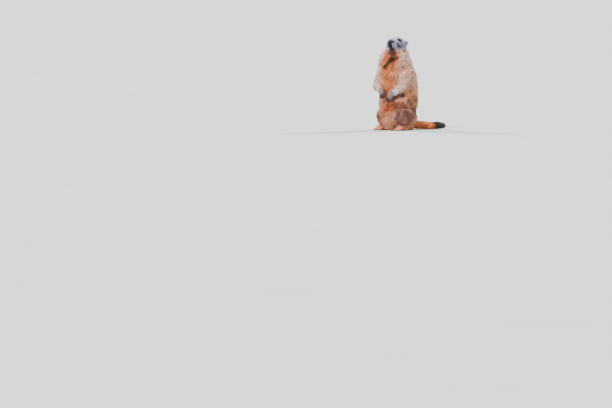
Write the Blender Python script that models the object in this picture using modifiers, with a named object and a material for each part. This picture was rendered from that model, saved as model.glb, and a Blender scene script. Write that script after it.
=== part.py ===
"""An alpine marmot sitting upright on its haunches, a life-size still model.

Run it with: blender --background --python part.py

Metres, +Z up. The animal faces -Y, so its left side is +X. The origin is on the floor under the
body's axis, in the middle of the flat that the rump sits on. Tables of sizes are in millimetres.
"""

import math
import random

import bmesh
import bpy
from mathutils import Matrix, Vector
from mathutils.bvhtree import BVHTree

MM = 0.001
GAP = 0.3 * MM
SIDES = (("left", 1), ("right", -1))

# The body. Each ring of the torso is its height, half width, half depth and how far back its middle is.
TORSO = (
    (-6, 52, 46, 8),
    (8, 74, 68, 7),
    (26, 86, 84, 5),
    (50, 91, 93, 4),
    (100, 93, 95, 7),
    (150, 97, 98, 11),
    (200, 101, 99, 9),
    (250, 102, 98, 3),
    (285, 100, 95, -3),
    (315, 94, 88, -9),
    (345, 85, 80, -13),
    (375, 74, 72, -14),
    (400, 64, 66, -9),
    (425, 52, 54, 0),
    (442, 34, 36, 6),
)
THIGH_CENTRE = (62, -20, 76)
THIGH_RADII = (43, 63, 61)

# The fore limbs. The wrists hang in front of the belly, the right one a little higher.
SHOULDER = (67, -20, 296)
ELBOW = (81, -60, 226)
WRIST = {"left": (36, -99, 184), "right": (25, -99, 203)}
PAW_TIP = {"left": (22, -107, 146), "right": (11, -107, 163)}
SHOULDER_RADIUS = 35
UPPER_ARM_RADIUS = 31
ELBOW_RADIUS = 24
FOREARM_RADIUS = 19
WRIST_RADIUS = 12

# The hind limbs, from the shin under the thigh to the toes.
SHIN = (64, -34, 50)
HEEL = (58, 2, 17)
INSTEP = (62, -42, 15)
BALL = (66, -74, 10)
SHIN_RADIUS = 21
HEEL_RADIUS = 17
INSTEP_RADIUS = 17
BALL_RADIUS = 13

# The tail lies on the floor and swings to the animal's left.
TAIL_PATH = ((2, 66, 38), (22, 102, 28), (62, 140, 22), (110, 180, 21), (144, 208, 20))
TAIL_RADII = (24, 24, 25, 23, 13)

# How far the space that parts a limb from the body reaches beyond the limb's outline.
REGION_MARGIN = 4.5
REGION_SIDES = 10

# The coat's locks lie on a core that is inset from the outline, and their tips reach out to it.
LOCK_SEED = 7
RUFF_HEIGHT = 350
TORSO_INSET = 7.5
THIGH_INSET = 6.0
ARM_INSET = 4.5
TAIL_INSET = 6.5
LOCK_STEP = 50
ARM_STEP = 38
TAIL_STEP = 34
# The end of a limb that has no roots, so that no lock folds round its tip.
ARM_SPARE = 12
TAIL_SPARE = 42
# Sizes of a lock: length, width and thickness.
TORSO_LOCK = (60, 38, 10)
THIGH_LOCK = (50, 32, 8)
ARM_LOCK = (42, 25, 7)
TAIL_LOCK = (58, 27, 7)
CHEEK_LOCK = (25, 14, 4)
TORSO_LOCK_HEIGHTS = (74, 425)
# Above this height only the nape has locks, and a lock that crosses a cut lies this low.
THROAT_TOP = 385
LOW_RISE = 3.0
# Rings of roots on the thigh: degrees from its axis, and how many.
THIGH_RINGS = ((20, 1), (52, 4), (80, 6))
LOCK_TURN = 14
LOCK_SPREAD = 0.16
# Along a lock: share of its length, of its width, of its thickness and of its rise to the outline.
LOCK_STATIONS = ((0.0, 0.6, 0.8, -0.4), (0.42, 1.0, 1.0, 0.3), (0.74, 0.74, 0.8, 0.7))

# The head, in its own frame: u runs forward and w up from the middle of the skull.
HEAD_MIDDLE = (0, -5, 438)
HEAD_PITCH = 14
HEAD_YAW = 9
# Each ring is u, half width, top and bottom.
HEAD_RINGS = (
    (70, 8, 3, -15),
    (66, 16, 10, -24),
    (57, 21, 17, -31),
    (44, 26, 23, -36),
    (32, 31, 29, -39),
    (18, 37, 34, -42),
    (0, 41, 38, -45),
    (-20, 43, 38, -48),
    (-38, 42, 33, -50),
    (-51, 38, 25, -50),
    (-60, 30, 13, -48),
    (-65, 16, 0, -42),
)
HEAD_SQUARENESS = 2.4
CHEEK_ROOTS = ((12, 50, -20), (0, 52, -6), (0, 54, -28), (-16, 54, -16))
CHEEK = ((2, 31, -16), (33, 20, 25))
WHISKER_PAD = ((54, 12, -12), (14, 12, 12))
BROW = ((19, 23, 20), (20, 10, 8))
CHIN = ((50, 0, -29), (13, 12, 9))
NOSE = ((66.5, 0, -1.5), (5.0, 11.0, 7.5))
NOSTRIL = ((71.5, 5.2, -2), (4.0, 2.2, 2.4))
EYE_AIM = (28, 30, 17)
EYE_RADIUS = 7
EYE_BULGE = 2.2
LID_RADIUS = 1.4
EAR_PLACE = (-27, 38.5, 12)
EAR_RADII = (10.5, 5.5, 11.5)
EAR_CUP_RADII = (7.5, 5.0, 8.5)
MOUTH_LINE = ((69, 0, -12), (69, 1.5, -18), (65, 8, -23), (56, 16, -27), (45, 22, -29), (36, 26, -30))
MOUTH_RADIUS = 1.1

# Paws. Digits spread over the paw's width, with the middle ones the longest.
FORE_DIGITS = (-1.0, -0.36, 0.34, 1.0)
FORE_LENGTHS = (0.82, 1.0, 0.98, 0.8)
HIND_DIGITS = (-1.0, -0.5, 0.0, 0.5, 1.0)
HIND_LENGTHS = (0.74, 0.96, 1.0, 0.94, 0.7)

# Planes that part the torso: a point and the side that the upper piece lies on.
HEAD_CUT = ((0, 10, 415), (0, -0.3, 0.954))
NECK_CUT = ((0, 0, 346), (0, -0.15, 0.99))
WAIST_CUT = ((0, 0, 202), (0, 0, 1))

# Mesh sizes.
BODY_VOXEL = 4.5 * MM
HEAD_VOXEL = 2.0 * MM
PAW_VOXEL = 1.5 * MM
BODY_TRIANGLES = 1300
HEAD_TRIANGLES = 2600
PAW_TRIANGLES = 400
FOOT_TRIANGLES = 340
# EXACT takes minutes on remeshed bodies, and every mesh here is closed.
SOLVER = "MANIFOLD"

COLOURS = {
    "coat": ((0.62, 0.40, 0.24), 0.85),
    "coat_head": ((0.36, 0.33, 0.33), 0.85),
    "coat_limb": ((0.60, 0.48, 0.38), 0.85),
    "paw": ((0.13, 0.11, 0.11), 0.7),
    "tail": ((0.30, 0.17, 0.10), 0.85),
    "eye": ((0.01, 0.008, 0.006), 0.1),
    "nose": ((0.02, 0.018, 0.02), 0.4),
}


def mm(values):
    """A vector in metres from sizes in millimetres."""
    return Vector(values) * MM


def mirrored(values, side):
    """A place in millimetres on the left side, carried to the side given as 1 or -1."""
    return (values[0] * side, values[1], values[2])


def head_frame():
    """The matrix from the head's own frame to the body's."""
    return (
        Matrix.Translation(mm(HEAD_MIDDLE))
        @ Matrix.Rotation(math.radians(HEAD_YAW), 4, "Z")
        @ Matrix.Rotation(math.radians(-HEAD_PITCH), 4, "X")
    )


def on_head(place, side=1):
    """A place given as u, sideways, w, in the body's frame."""
    forward, sideways, up = place
    return head_frame() @ mm((sideways * side, -forward, up))


def new_object(name, bm):
    """A scene object that holds the mesh, with its normals pointing out."""
    bmesh.ops.recalc_face_normals(bm, faces=bm.faces)
    mesh = bpy.data.meshes.new(name)
    bm.to_mesh(mesh)
    bm.free()
    obj = bpy.data.objects.new(name, mesh)
    bpy.context.scene.collection.objects.link(obj)
    return obj


def remove(*objects):
    for obj in objects:
        bpy.data.objects.remove(obj)


def ellipsoid(name, middle, radii, turn=None, sides=24):
    """An ellipsoid about a place in metres, with radii in metres along the turned axes."""
    bm = bmesh.new()
    bmesh.ops.create_uvsphere(bm, u_segments=sides, v_segments=sides // 2, radius=1)
    place = Matrix.Translation(middle) @ (turn or Matrix.Identity(4)) @ Matrix.Diagonal((*radii, 1))
    bm.transform(place)
    return new_object(name, bm)


def squared(value, power):
    """A sine or cosine for a ring that is squarer than an ellipse, whose power is 2."""
    return math.copysign(abs(value) ** (2 / power), value)


def loft(name, rings, sides=24, power=2.0):
    """A closed skin over rings, each a middle and its two half axes. Both ends close on a point."""
    bm = bmesh.new()
    turns = [2 * math.pi * i / sides for i in range(sides)]
    around = [(squared(math.cos(turn), power), squared(math.sin(turn), power)) for turn in turns]
    loops = []
    for middle, across, deep in rings:
        loops.append([bm.verts.new(middle + across * x + deep * y) for x, y in around])
    for lower, upper in zip(loops, loops[1:]):
        for i in range(sides):
            j = (i + 1) % sides
            bm.faces.new((lower[i], lower[j], upper[j], upper[i]))
    for loop, middle in ((loops[0], rings[0][0]), (loops[-1], rings[-1][0])):
        pole = bm.verts.new(middle)
        for i in range(sides):
            bm.faces.new((loop[i], loop[(i + 1) % sides], pole))
    return new_object(name, bm)


def smooth_through(rows, steps):
    """Rows of numbers along a Catmull-Rom curve through the given rows."""
    rows = [tuple(rows[0])] + [tuple(row) for row in rows] + [tuple(rows[-1])]
    found = []
    for a, b, c, d in zip(rows, rows[1:], rows[2:], rows[3:]):
        for step in range(steps):
            t = step / steps
            weights = (
                -0.5 * t + t**2 - 0.5 * t**3,
                1 - 2.5 * t**2 + 1.5 * t**3,
                0.5 * t + 2 * t**2 - 1.5 * t**3,
                -0.5 * t**2 + 0.5 * t**3,
            )
            found.append(tuple(sum(w * v for w, v in zip(weights, column)) for column in zip(a, b, c, d)))
    found.append(rows[-1])
    return found


def tube(name, places, radii, flat=1.0, grow=0.0, sides=14, steps=3):
    """A limb along places in millimetres, with round ends. flat is its depth along Z over its width."""
    rows = smooth_through([(*place, radius + grow) for place, radius in zip(places, radii)], steps)
    middles = [mm(row[:3]) for row in rows]
    sizes = [row[3] * MM for row in rows]
    tangents = [
        (middles[min(i + 1, len(middles) - 1)] - middles[max(i - 1, 0)]).normalized() for i in range(len(middles))
    ]
    caps = [math.radians(a) for a in (80, 55, 28)]
    stations = [(middles[0] - tangents[0] * sizes[0] * math.sin(a), sizes[0] * math.cos(a), tangents[0]) for a in caps]
    stations += list(zip(middles, sizes, tangents))
    stations += [
        (middles[-1] + tangents[-1] * sizes[-1] * math.sin(a), sizes[-1] * math.cos(a), tangents[-1])
        for a in reversed(caps)
    ]
    rings = []
    for middle, size, tangent in stations:
        reference = Vector((0, 0, 1)) if abs(tangent.z) < 0.8 else Vector((0, -1, 0))
        across = tangent.cross(reference).normalized()
        deep = across.cross(tangent).normalized()
        rings.append((middle, across * size, deep * size * flat))
    return loft(name, rings, sides)


def half_space(name, cut, beyond, reach=0.7):
    """A large box on the upper side of a plane, or on the lower side, that starts GAP / 2 beyond it."""
    point, direction = mm(cut[0]), Vector(cut[1]).normalized() * beyond
    bm = bmesh.new()
    bmesh.ops.create_cube(bm, size=reach)
    lift = Matrix.Translation((0, 0, reach / 2 + GAP / 2))
    bm.transform(Matrix.Translation(point) @ direction.to_track_quat("Z", "Y").to_matrix().to_4x4() @ lift)
    return new_object(name, bm)


def evaluated_mesh(obj):
    graph = bpy.context.evaluated_depsgraph_get()
    return bpy.data.meshes.new_from_object(obj.evaluated_get(graph))


def apply_modifiers(obj):
    """Turns what the modifiers make into the object's own mesh."""
    bpy.context.view_layer.update()
    mesh = evaluated_mesh(obj)
    obj.modifiers.clear()
    obj.data = mesh


def join(name, objects):
    """One object that holds every mesh given, which are removed."""
    bm = bmesh.new()
    for obj in objects:
        bm.from_mesh(obj.data)
    remove(*objects)
    return new_object(name, bm)


def fuse(name, objects, voxel, smoothing, triangles):
    """Closed shapes grown into one smooth form of about the number of triangles given."""
    obj = join(name, objects)
    remesh = obj.modifiers.new("remesh", "REMESH")
    remesh.mode = "VOXEL"
    remesh.voxel_size = voxel
    smooth = obj.modifiers.new("smooth", "SMOOTH")
    smooth.iterations = smoothing
    smooth.factor = 0.5
    apply_modifiers(obj)
    whole = sum(len(face.vertices) - 2 for face in obj.data.polygons)
    decimate = obj.modifiers.new("decimate", "DECIMATE")
    decimate.ratio = min(1.0, triangles / whole)
    apply_modifiers(obj)
    return obj


def copy_of(obj, name):
    twin = bpy.data.objects.new(name, obj.data.copy())
    bpy.context.scene.collection.objects.link(twin)
    return twin


def face_out(obj):
    """Turns every face of a closed mesh to point out of it."""
    bm = bmesh.new()
    bm.from_mesh(obj.data)
    bmesh.ops.recalc_face_normals(bm, faces=bm.faces)
    bm.to_mesh(obj.data)
    bm.free()


def boolean(obj, other, operation):
    """Cuts or joins obj with another object, which is removed."""
    modifier = obj.modifiers.new("boolean", "BOOLEAN")
    modifier.operation = operation
    modifier.object = other
    modifier.solver = SOLVER
    apply_modifiers(obj)
    face_out(obj)
    remove(other)


def unite(obj, pieces):
    """Joins closed pieces to obj with one union on a collection, then removes them."""
    joined = bpy.data.collections.new("pieces")
    bpy.context.scene.collection.children.link(joined)
    for piece in pieces:
        bpy.context.scene.collection.objects.unlink(piece)
        joined.objects.link(piece)
    modifier = obj.modifiers.new("union", "BOOLEAN")
    modifier.operation = "UNION"
    modifier.operand_type = "COLLECTION"
    modifier.collection = joined
    modifier.solver = SOLVER
    apply_modifiers(obj)
    face_out(obj)
    remove(*joined.objects)
    bpy.data.collections.remove(joined)


def grown(obj, amount=GAP):
    """A copy of obj whose surface lies outside it by amount."""
    twin = copy_of(obj, obj.name + "_grown")
    swell = twin.modifiers.new("swell", "DISPLACE")
    swell.strength = amount
    swell.mid_level = 0
    apply_modifiers(twin)
    return twin


def keep_largest(obj):
    """Leaves the largest closed surface of obj and drops what a cut has cut loose."""
    bm = bmesh.new()
    bm.from_mesh(obj.data)
    left, bodies = set(bm.faces), []
    while left:
        body, edge_of = set(), [left.pop()]
        while edge_of:
            face = edge_of.pop()
            body.add(face)
            near = {other for edge in face.edges for other in edge.link_faces} & left
            left -= near
            edge_of.extend(near)
        bodies.append(body)
    largest = max(bodies, key=lambda body: sum(face.calc_area() for face in body))
    loose = [face for body in bodies if body is not largest for face in body]
    bmesh.ops.delete(bm, geom=loose, context="FACES")
    bm.to_mesh(obj.data)
    bm.free()
    return obj


def part_off(body, name, region, wider):
    """Splits body in two: what lies in the region is returned, and what lies outside the wider one stays."""
    piece = copy_of(body, name)
    boolean(piece, region, "INTERSECT")
    boolean(body, wider, "DIFFERENCE")
    return keep_largest(piece)


def split(body, name, cut):
    """Takes what lies above the cut off the body, with GAP between the two."""
    piece = copy_of(body, name)
    boolean(piece, half_space("above", cut, 1), "INTERSECT")
    boolean(body, half_space("below", cut, -1), "INTERSECT")
    keep_largest(body)
    return keep_largest(piece)


def torso_rings(inset=0.0):
    return [
        (mm((0, back, height)), mm((width - inset, 0, 0)), mm((0, depth - inset, 0)))
        for height, width, depth, back in smooth_through(TORSO, 3)
    ]


def head_rings():
    frame = head_frame()
    turn = frame.to_3x3()
    rings = []
    for forward, width, top, bottom in smooth_through(HEAD_RINGS, 3):
        middle = frame @ mm((0, -forward, (top + bottom) / 2))
        rings.append((middle, turn @ mm((width, 0, 0)), turn @ mm((0, 0, (top - bottom) / 2))))
    return rings


def head_blob(name, shape, side, sides=20):
    """An ellipsoid on the head, from its place and radii in u, sideways, w order."""
    place, (forward, sideways, up) = shape
    turn = head_frame().to_3x3().to_4x4()
    return ellipsoid(name, on_head(place, side), mm((sideways, forward, up)), turn, sides)


def head_shapes():
    shapes = [loft("skull", head_rings(), power=HEAD_SQUARENESS), head_blob("chin", CHIN, 1)]
    for _, side in SIDES:
        shapes += [head_blob("blob", shape, side) for shape in (CHEEK, WHISKER_PAD, BROW)]
    return shapes


def upper_arm(side, grow=0.0, sides=14, steps=3):
    middle = [(a + b) / 2 for a, b in zip(SHOULDER, ELBOW)]
    places = [mirrored(place, side) for place in (SHOULDER, middle, ELBOW)]
    radii = (SHOULDER_RADIUS, UPPER_ARM_RADIUS, ELBOW_RADIUS)
    return tube("upper_arm", places, radii, grow=grow, sides=sides, steps=steps)


def forearm(name, side, grow=0.0, sides=14, steps=3):
    middle = [(a + b) / 2 for a, b in zip(ELBOW, WRIST[name])]
    places = [mirrored(place, side) for place in (ELBOW, middle, WRIST[name])]
    radii = (ELBOW_RADIUS, FOREARM_RADIUS, WRIST_RADIUS)
    return tube("forearm", places, radii, grow=grow, sides=sides, steps=steps)


def thigh(side, grow=0.0, sides=20):
    radii = [radius + grow for radius in THIGH_RADII]
    return ellipsoid("thigh", mm(mirrored(THIGH_CENTRE, side)), mm(radii), sides=sides)


def tail(grow=0.0, sides=14, steps=3):
    return tube("tail_form", TAIL_PATH, TAIL_RADII, grow=grow, sides=sides, steps=steps)


def arm_region(name, side, grow):
    """The space that the arm takes down to the wrist, a little larger than the arm."""
    region = upper_arm(side, grow, REGION_SIDES, 1)
    boolean(region, forearm(name, side, grow, REGION_SIDES, 1), "UNION")
    return region


def body_core():
    """The torso, neck, arms, thighs and tail as one smooth form inside the coat, with the head's form."""
    shapes = [loft("torso", torso_rings(TORSO_INSET), 32), tail(-TAIL_INSET), *head_shapes()]
    for name, side in SIDES:
        shapes += [upper_arm(side, -ARM_INSET), forearm(name, side), thigh(side, -THIGH_INSET)]
    return fuse("body", shapes, BODY_VOXEL, 8, BODY_TRIANGLES)


def crosses(cut, start, end):
    """Whether the plane of a cut lies between two places."""
    sides = [(place - mm(cut[0])).dot(Vector(cut[1])) for place in (start, end)]
    return sides[0] * sides[1] < 0


def lock(tree, place, along, sizes, rise, dice):
    """A flat, tapered lock that bends along the body from its sunk root and lifts towards its tip."""
    length, width, thickness = (size * dice.uniform(0.86, 1.16) * MM for size in sizes)
    near, out, _, _ = tree.find_nearest(place)
    turn = Matrix.Rotation(math.radians(dice.uniform(-LOCK_TURN, LOCK_TURN)), 3, out)
    along = turn @ (along - out * along.dot(out)).normalized()
    across = out.cross(along).normalized()
    bend = dice.uniform(-LOCK_SPREAD, LOCK_SPREAD) * length
    if any(crosses(cut, near, near + along * length) for cut in (HEAD_CUT, NECK_CUT, WAIST_CUT)):
        rise = LOW_RISE
    bm = bmesh.new()
    loops = []
    for share, wide, thick, lift in LOCK_STATIONS:
        middle, out, _, _ = tree.find_nearest(near + along * length * share + across * bend * share**2)
        middle = middle + out * lift * rise * MM
        edge, ridge = across * width * wide / 2, out * thickness * thick / 2
        loops.append([bm.verts.new(middle + corner) for corner in (edge - ridge * 0.4, ridge, -edge - ridge * 0.4)])
    end, out, _, _ = tree.find_nearest(near + along * length + across * bend)
    tip = bm.verts.new(end + out * rise * MM)
    bm.faces.new(loops[0])
    for lower, upper in zip(loops, loops[1:]):
        for i in range(3):
            j = (i + 1) % 3
            bm.faces.new((lower[i], lower[j], upper[j], upper[i]))
    for i in range(3):
        bm.faces.new((loops[-1][i], loops[-1][(i + 1) % 3], tip))
    return new_object("lock", bm)


def claw(name, root, along, down, length, radius):
    """A curved claw from its root, along a direction and bending down."""
    rings = []
    for share, size in ((-0.25, 1.0), (0.2, 1.0), (0.6, 0.66), (1.0, 0.12)):
        middle = root + along * length * share + down * length * 0.3 * max(share, 0) ** 2
        across = along.cross(down).normalized() * radius * size
        rings.append((middle, across, down * radius * size * 1.25))
    return loft(name, rings, 5)


def paw_digits(root, along, across, down, width, length, radius, spread, lengths, claw_length):
    """The digits and claws of a paw. They start on a line across root and bend down at the tips."""
    digits, claws = [], []
    for place, share in zip(spread, lengths):
        start = root + across * width * place - along * abs(place) * radius
        way = (along + across * place * 0.16).normalized()
        knuckle = start + way * length * share * 0.55 - down * radius * 0.25
        tip = start + way * length * share + down * radius * 0.15
        points = [tuple(point / MM) for point in (start, knuckle, tip)]
        size = radius / MM
        digits.append(tube("digit", points, (size, size * 1.05, size * 0.9), sides=8, steps=2))
        claws.append(claw("claw", tip - down * radius * 0.1, way, down, claw_length, radius * 0.42))
    return digits, claws


def forepaw(name, side):
    """The hand from the wrist cut, which hangs with its palm to the belly."""
    wrist, tip = mm(mirrored(WRIST[name], side)), mm(mirrored(PAW_TIP[name], side))
    along = (tip - wrist).normalized()
    across = Vector((1, 0, 0))
    across = (across - along * across.dot(along)).normalized()
    down = across.cross(along).normalized()
    if down.y < 0:
        down = -down
    turn = Matrix((across, down, along)).transposed().to_4x4()
    palm = ellipsoid("palm", wrist + along * 14 * MM, mm((12, 7.5, 17)), turn)
    digits, claws = paw_digits(
        wrist + along * 23 * MM, along, across, down, 8.6 * MM, 15 * MM, 3.5 * MM, FORE_DIGITS, FORE_LENGTHS, 11 * MM
    )
    hand = fuse("forepaw_" + name, [forearm(name, side), palm, *digits], PAW_VOXEL, 4, PAW_TRIANGLES)
    cut = (tuple(wrist / MM), tuple(along))
    boolean(hand, half_space("beyond", cut, 1), "INTERSECT")
    unite(hand, claws)
    return keep_largest(hand), cut


def hind_foot(name, side):
    """The foot flat on the floor, with the shin that rises into the thigh."""
    heel, instep, ball = (mirrored(place, side) for place in (HEEL, INSTEP, BALL))
    shin = mirrored(SHIN, side)
    sole = tube("sole", (heel, instep, ball), (HEEL_RADIUS, INSTEP_RADIUS, BALL_RADIUS), flat=0.85)
    leg = tube("leg", (shin, heel), (SHIN_RADIUS, HEEL_RADIUS))
    along = (mm(ball) - mm(instep)).normalized()
    along = Vector((along.x, along.y, 0)).normalized()
    across = Vector((0, 0, 1)).cross(along).normalized()
    down = Vector((0, 0, -1))
    root = Vector((ball[0] * MM, ball[1] * MM, 5 * MM)) + along * 3 * MM
    digits, claws = paw_digits(
        root, along, across, down, 11.5 * MM, 19 * MM, 4.3 * MM, HIND_DIGITS, HIND_LENGTHS, 9 * MM
    )
    foot = fuse("hind_foot_" + name, [sole, leg, *digits], PAW_VOXEL, 4, FOOT_TRIANGLES)
    unite(foot, claws)
    boolean(foot, half_space("floor", ((0, 0, -0.15), (0, 0, 1)), 1), "INTERSECT")
    return keep_largest(foot)


def hit(tree, start, direction):
    """Where a ray meets a surface, and the surface's normal there."""
    place, normal, _, _ = tree.ray_cast(start, direction)
    return place, normal


def tree_of(obj):
    bm = bmesh.new()
    bm.from_mesh(obj.data)
    tree = BVHTree.FromBMesh(bm)
    bm.free()
    return tree


def eye_place(tree, side):
    """The eyeball's middle, and the direction that the eye looks, from where its ray leaves the head."""
    aim = on_head(EYE_AIM, side)
    outward = (head_frame().to_3x3() @ Vector((0.86 * side, -0.44, 0.26))).normalized()
    surface, _ = hit(tree, aim + outward * 40 * MM, -outward)
    return surface - outward * (EYE_RADIUS - EYE_BULGE) * MM, outward


def eyelids(middle, outward):
    """The lids' rim, a slightly flat ring round the eye."""
    bm = bmesh.new()
    ring = []
    up = (Vector((0, 0, 1)) - outward * outward.z).normalized()
    along = up.cross(outward).normalized()
    for i in range(16):
        turn = 2 * math.pi * i / 16
        out = (along * math.cos(turn) * 1.08 + up * math.sin(turn) * 0.88).normalized()
        reach = (EYE_RADIUS * 0.9) * (1.08 if abs(math.cos(turn)) > 0.7 else 0.98) * MM
        core = middle + outward * EYE_RADIUS * 0.34 * MM + out * reach
        section = []
        for j in range(6):
            angle = 2 * math.pi * j / 6
            section.append(
                bm.verts.new(core + (out * math.cos(angle) + outward * math.sin(angle)) * LID_RADIUS * MM)
            )
        ring.append(section)
    for i in range(16):
        here, there = ring[i], ring[(i + 1) % 16]
        for j in range(6):
            k = (j + 1) % 6
            bm.faces.new((here[j], here[k], there[k], there[j]))
    return new_object("lids", bm)


def mouth_cutter(tree, side):
    """A thin round cutter that follows the closed lips over the muzzle."""
    places = []
    for place in smooth_through(MOUTH_LINE, 2):
        near = tree.find_nearest(on_head(place, side))[0]
        places.append(tuple(near / MM))
    return tube("mouth", places, [MOUTH_RADIUS] * len(places), sides=5, steps=1)


def ear(name, side):
    """A small round ear whose cup opens forward and out."""
    middle = on_head(EAR_PLACE, side)
    turn = (
        head_frame().to_3x3().to_4x4()
        @ Matrix.Rotation(math.radians(38 * side), 4, "Z")
        @ Matrix.Rotation(math.radians(32 * side), 4, "Y")
    )
    pinna = ellipsoid("ear_" + name, middle, mm(EAR_RADII), turn, sides=14)
    cup_middle = middle + turn.to_3x3() @ mm((0, -4.2, 1.5))
    boolean(pinna, ellipsoid("cup", cup_middle, mm(EAR_CUP_RADII), turn, sides=12), "DIFFERENCE")
    return pinna


def row_places(tree, middle, axes, radii, step, offset):
    """Places on the body round a middle, a step apart, without those that another limb covers.

    axes are two directions across the row's axis, and radii are the outline's half sizes along them.
    """
    count = max(3, round(math.pi * sum(radii) / step))
    places = []
    for i in range(count):
        turn = 2 * math.pi * (i + offset) / count
        x, y = math.cos(turn), math.sin(turn)
        place, _ = hit(tree, middle, (axes[0] * x + axes[1] * y).normalized())
        reach = MM / math.hypot(x / radii[0], y / radii[1])
        if place is not None and (place - middle).length < reach:
            places.append(place)
    return places


def limb_rows(tree, path, radii, step, spare):
    """Root places and directions in staggered rows along a round limb, apart from its last spare length."""
    rows = smooth_through([(*place, radius) for place, radius in zip(path, radii)], 6)
    end = mm(rows[-1][:3])
    found, gone, row = [], step * 0.5, 0
    for here, there in zip(rows, rows[1:]):
        start, along = mm(here[:3]), mm(there[:3]) - mm(here[:3])
        gone += along.length / MM
        if gone < step or (end - start).length < spare * MM:
            continue
        gone, row = 0.0, row + 1
        along.normalize()
        side = along.cross(Vector((0, 0, 1)) if abs(along.z) < 0.8 else Vector((0, -1, 0))).normalized()
        places = row_places(tree, start, (side, along.cross(side)), (here[3],) * 2, step * 0.9, 0.5 * (row % 2))
        found += [(place, along) for place in places]
    return found


def torso_roots(tree):
    rings = smooth_through(TORSO, 8)
    low, high = TORSO_LOCK_HEIGHTS
    found = []
    for row in range(int((high - low) / LOCK_STEP) + 1):
        height = low + row * LOCK_STEP
        _, width, depth, back = min(rings, key=lambda ring: abs(ring[0] - height))
        axes = (Vector((1, 0, 0)), Vector((0, 1, 0)))
        places = row_places(tree, mm((0, back, height)), axes, (width, depth), LOCK_STEP, 0.5 * (row % 2))
        found += [(place, Vector((0, 0, -1))) for place in places if height < THROAT_TOP or place.y > 0]
    return found


def thigh_roots(tree, side):
    centre = mm(mirrored(THIGH_CENTRE, side))
    found = []
    for tilt, count in THIGH_RINGS:
        out = Vector((math.cos(math.radians(tilt)) * side, 0, 0))
        for i in range(count):
            turn = 2 * math.pi * (i + tilt / 90) / count
            flat = Vector((0, math.cos(turn), math.sin(turn))) * math.sin(math.radians(tilt))
            place, _ = hit(tree, centre, out + flat)
            if place is not None and (place - centre).length < max(THIGH_RADII) * MM:
                found.append((place, Vector((0, 0.45, -0.9))))
    return found


def coat_locks(tree):
    """The locks of the whole body, laid along its coat from the neck down."""
    dice = random.Random(LOCK_SEED)
    groups = [(torso_roots(tree), TORSO_LOCK, TORSO_INSET)]
    groups.append((limb_rows(tree, TAIL_PATH, TAIL_RADII, TAIL_STEP, TAIL_SPARE), TAIL_LOCK, TAIL_INSET))
    for _, side in SIDES:
        arm = [mirrored(place, side) for place in (SHOULDER, ELBOW)]
        rows = limb_rows(tree, arm, (SHOULDER_RADIUS, ELBOW_RADIUS), ARM_STEP, ARM_SPARE)
        groups.append((rows, ARM_LOCK, ARM_INSET))
        groups.append((thigh_roots(tree, side), THIGH_LOCK, THIGH_INSET))
    return [
        lock(tree, place, along, sizes, rise, dice) for roots, sizes, rise in groups for place, along in roots
    ]


def cheek_locks(tree):
    dice = random.Random(LOCK_SEED)
    turn = head_frame().to_3x3()
    return [
        lock(tree, on_head(root, side), turn @ Vector((0.3 * side, 0.7, -0.7)), CHEEK_LOCK, 2.0, dice)
        for root in CHEEK_ROOTS
        for _, side in SIDES
    ]


def head(ruff):
    """The head with its sockets, lids, mouth line and nostrils, and the eyes, ears and nose as nodes.

    ruff holds copies of the body's locks round the neck, which the head's side of the cut shares.
    """
    upper = loft("throat", torso_rings(TORSO_INSET), 32)
    skull = fuse("head", [upper, *head_shapes()], HEAD_VOXEL, 8, HEAD_TRIANGLES)
    tree = tree_of(skull)
    unite(skull, ruff + cheek_locks(tree))
    boolean(skull, half_space("above", HEAD_CUT, 1), "INTERSECT")
    made, lids, holes = [], [], []
    for name, side in SIDES:
        middle, outward = eye_place(tree, side)
        radius = EYE_RADIUS * MM
        made.append(ellipsoid("eye_" + name, middle, (radius,) * 3, sides=12))
        lids.append(eyelids(middle, outward))
        holes.append(ellipsoid("socket", middle, (radius + GAP,) * 3, sides=12))
        holes.append(mouth_cutter(tree, side))
    unite(skull, lids)
    place, radii = NOSE
    turn = head_frame().to_3x3().to_4x4()
    sizes = mm((radii[1], radii[0], radii[2]))
    nose = ellipsoid("nose", on_head(place), sizes, turn, sides=14)
    holes.append(ellipsoid("nose_socket", on_head(place), [size + GAP for size in sizes], turn, sides=14))
    for hole in holes:
        boolean(skull, hole, "DIFFERENCE")
    for _, side in SIDES:
        boolean(nose, head_blob("nostril", NOSTRIL, side, 8), "DIFFERENCE")
    keep_largest(skull)
    for name, side in SIDES:
        pinna = ear(name, side)
        boolean(pinna, grown(skull), "DIFFERENCE")
        made.append(keep_largest(pinna))
    return [skull, nose, *made]


def material(name):
    colour, roughness = COLOURS[name]
    found = bpy.data.materials.new(name)
    found.use_nodes = True
    shader = found.node_tree.nodes["Principled BSDF"]
    shader.inputs["Base Color"].default_value = (*colour, 1)
    shader.inputs["Roughness"].default_value = roughness
    shader.inputs["Metallic"].default_value = 0.0
    return found


def finish(nodes):
    """Gives each node its material and smooth shading, and puts them in the model's collection."""
    home = bpy.data.collections.new("alpine_marmot")
    bpy.context.scene.collection.children.link(home)
    slots = {name: material(name) for name in COLOURS}
    for obj in nodes:
        for start, slot in (
            ("head", "coat_head"),
            ("ear", "coat_head"),
            ("forearm", "coat_limb"),
            ("forepaw", "paw"),
            ("hind_foot", "coat_limb"),
            ("tail", "tail"),
            ("eye", "eye"),
            ("nose", "nose"),
            ("", "coat"),
        ):
            if obj.name.startswith(start):
                break
        obj.data.materials.clear()
        obj.data.materials.append(slots[slot])
        obj.data.shade_smooth()
        obj.data.set_sharp_from_angle(angle=math.radians(40))
        bpy.context.scene.collection.objects.unlink(obj)
        home.objects.link(obj)


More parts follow.
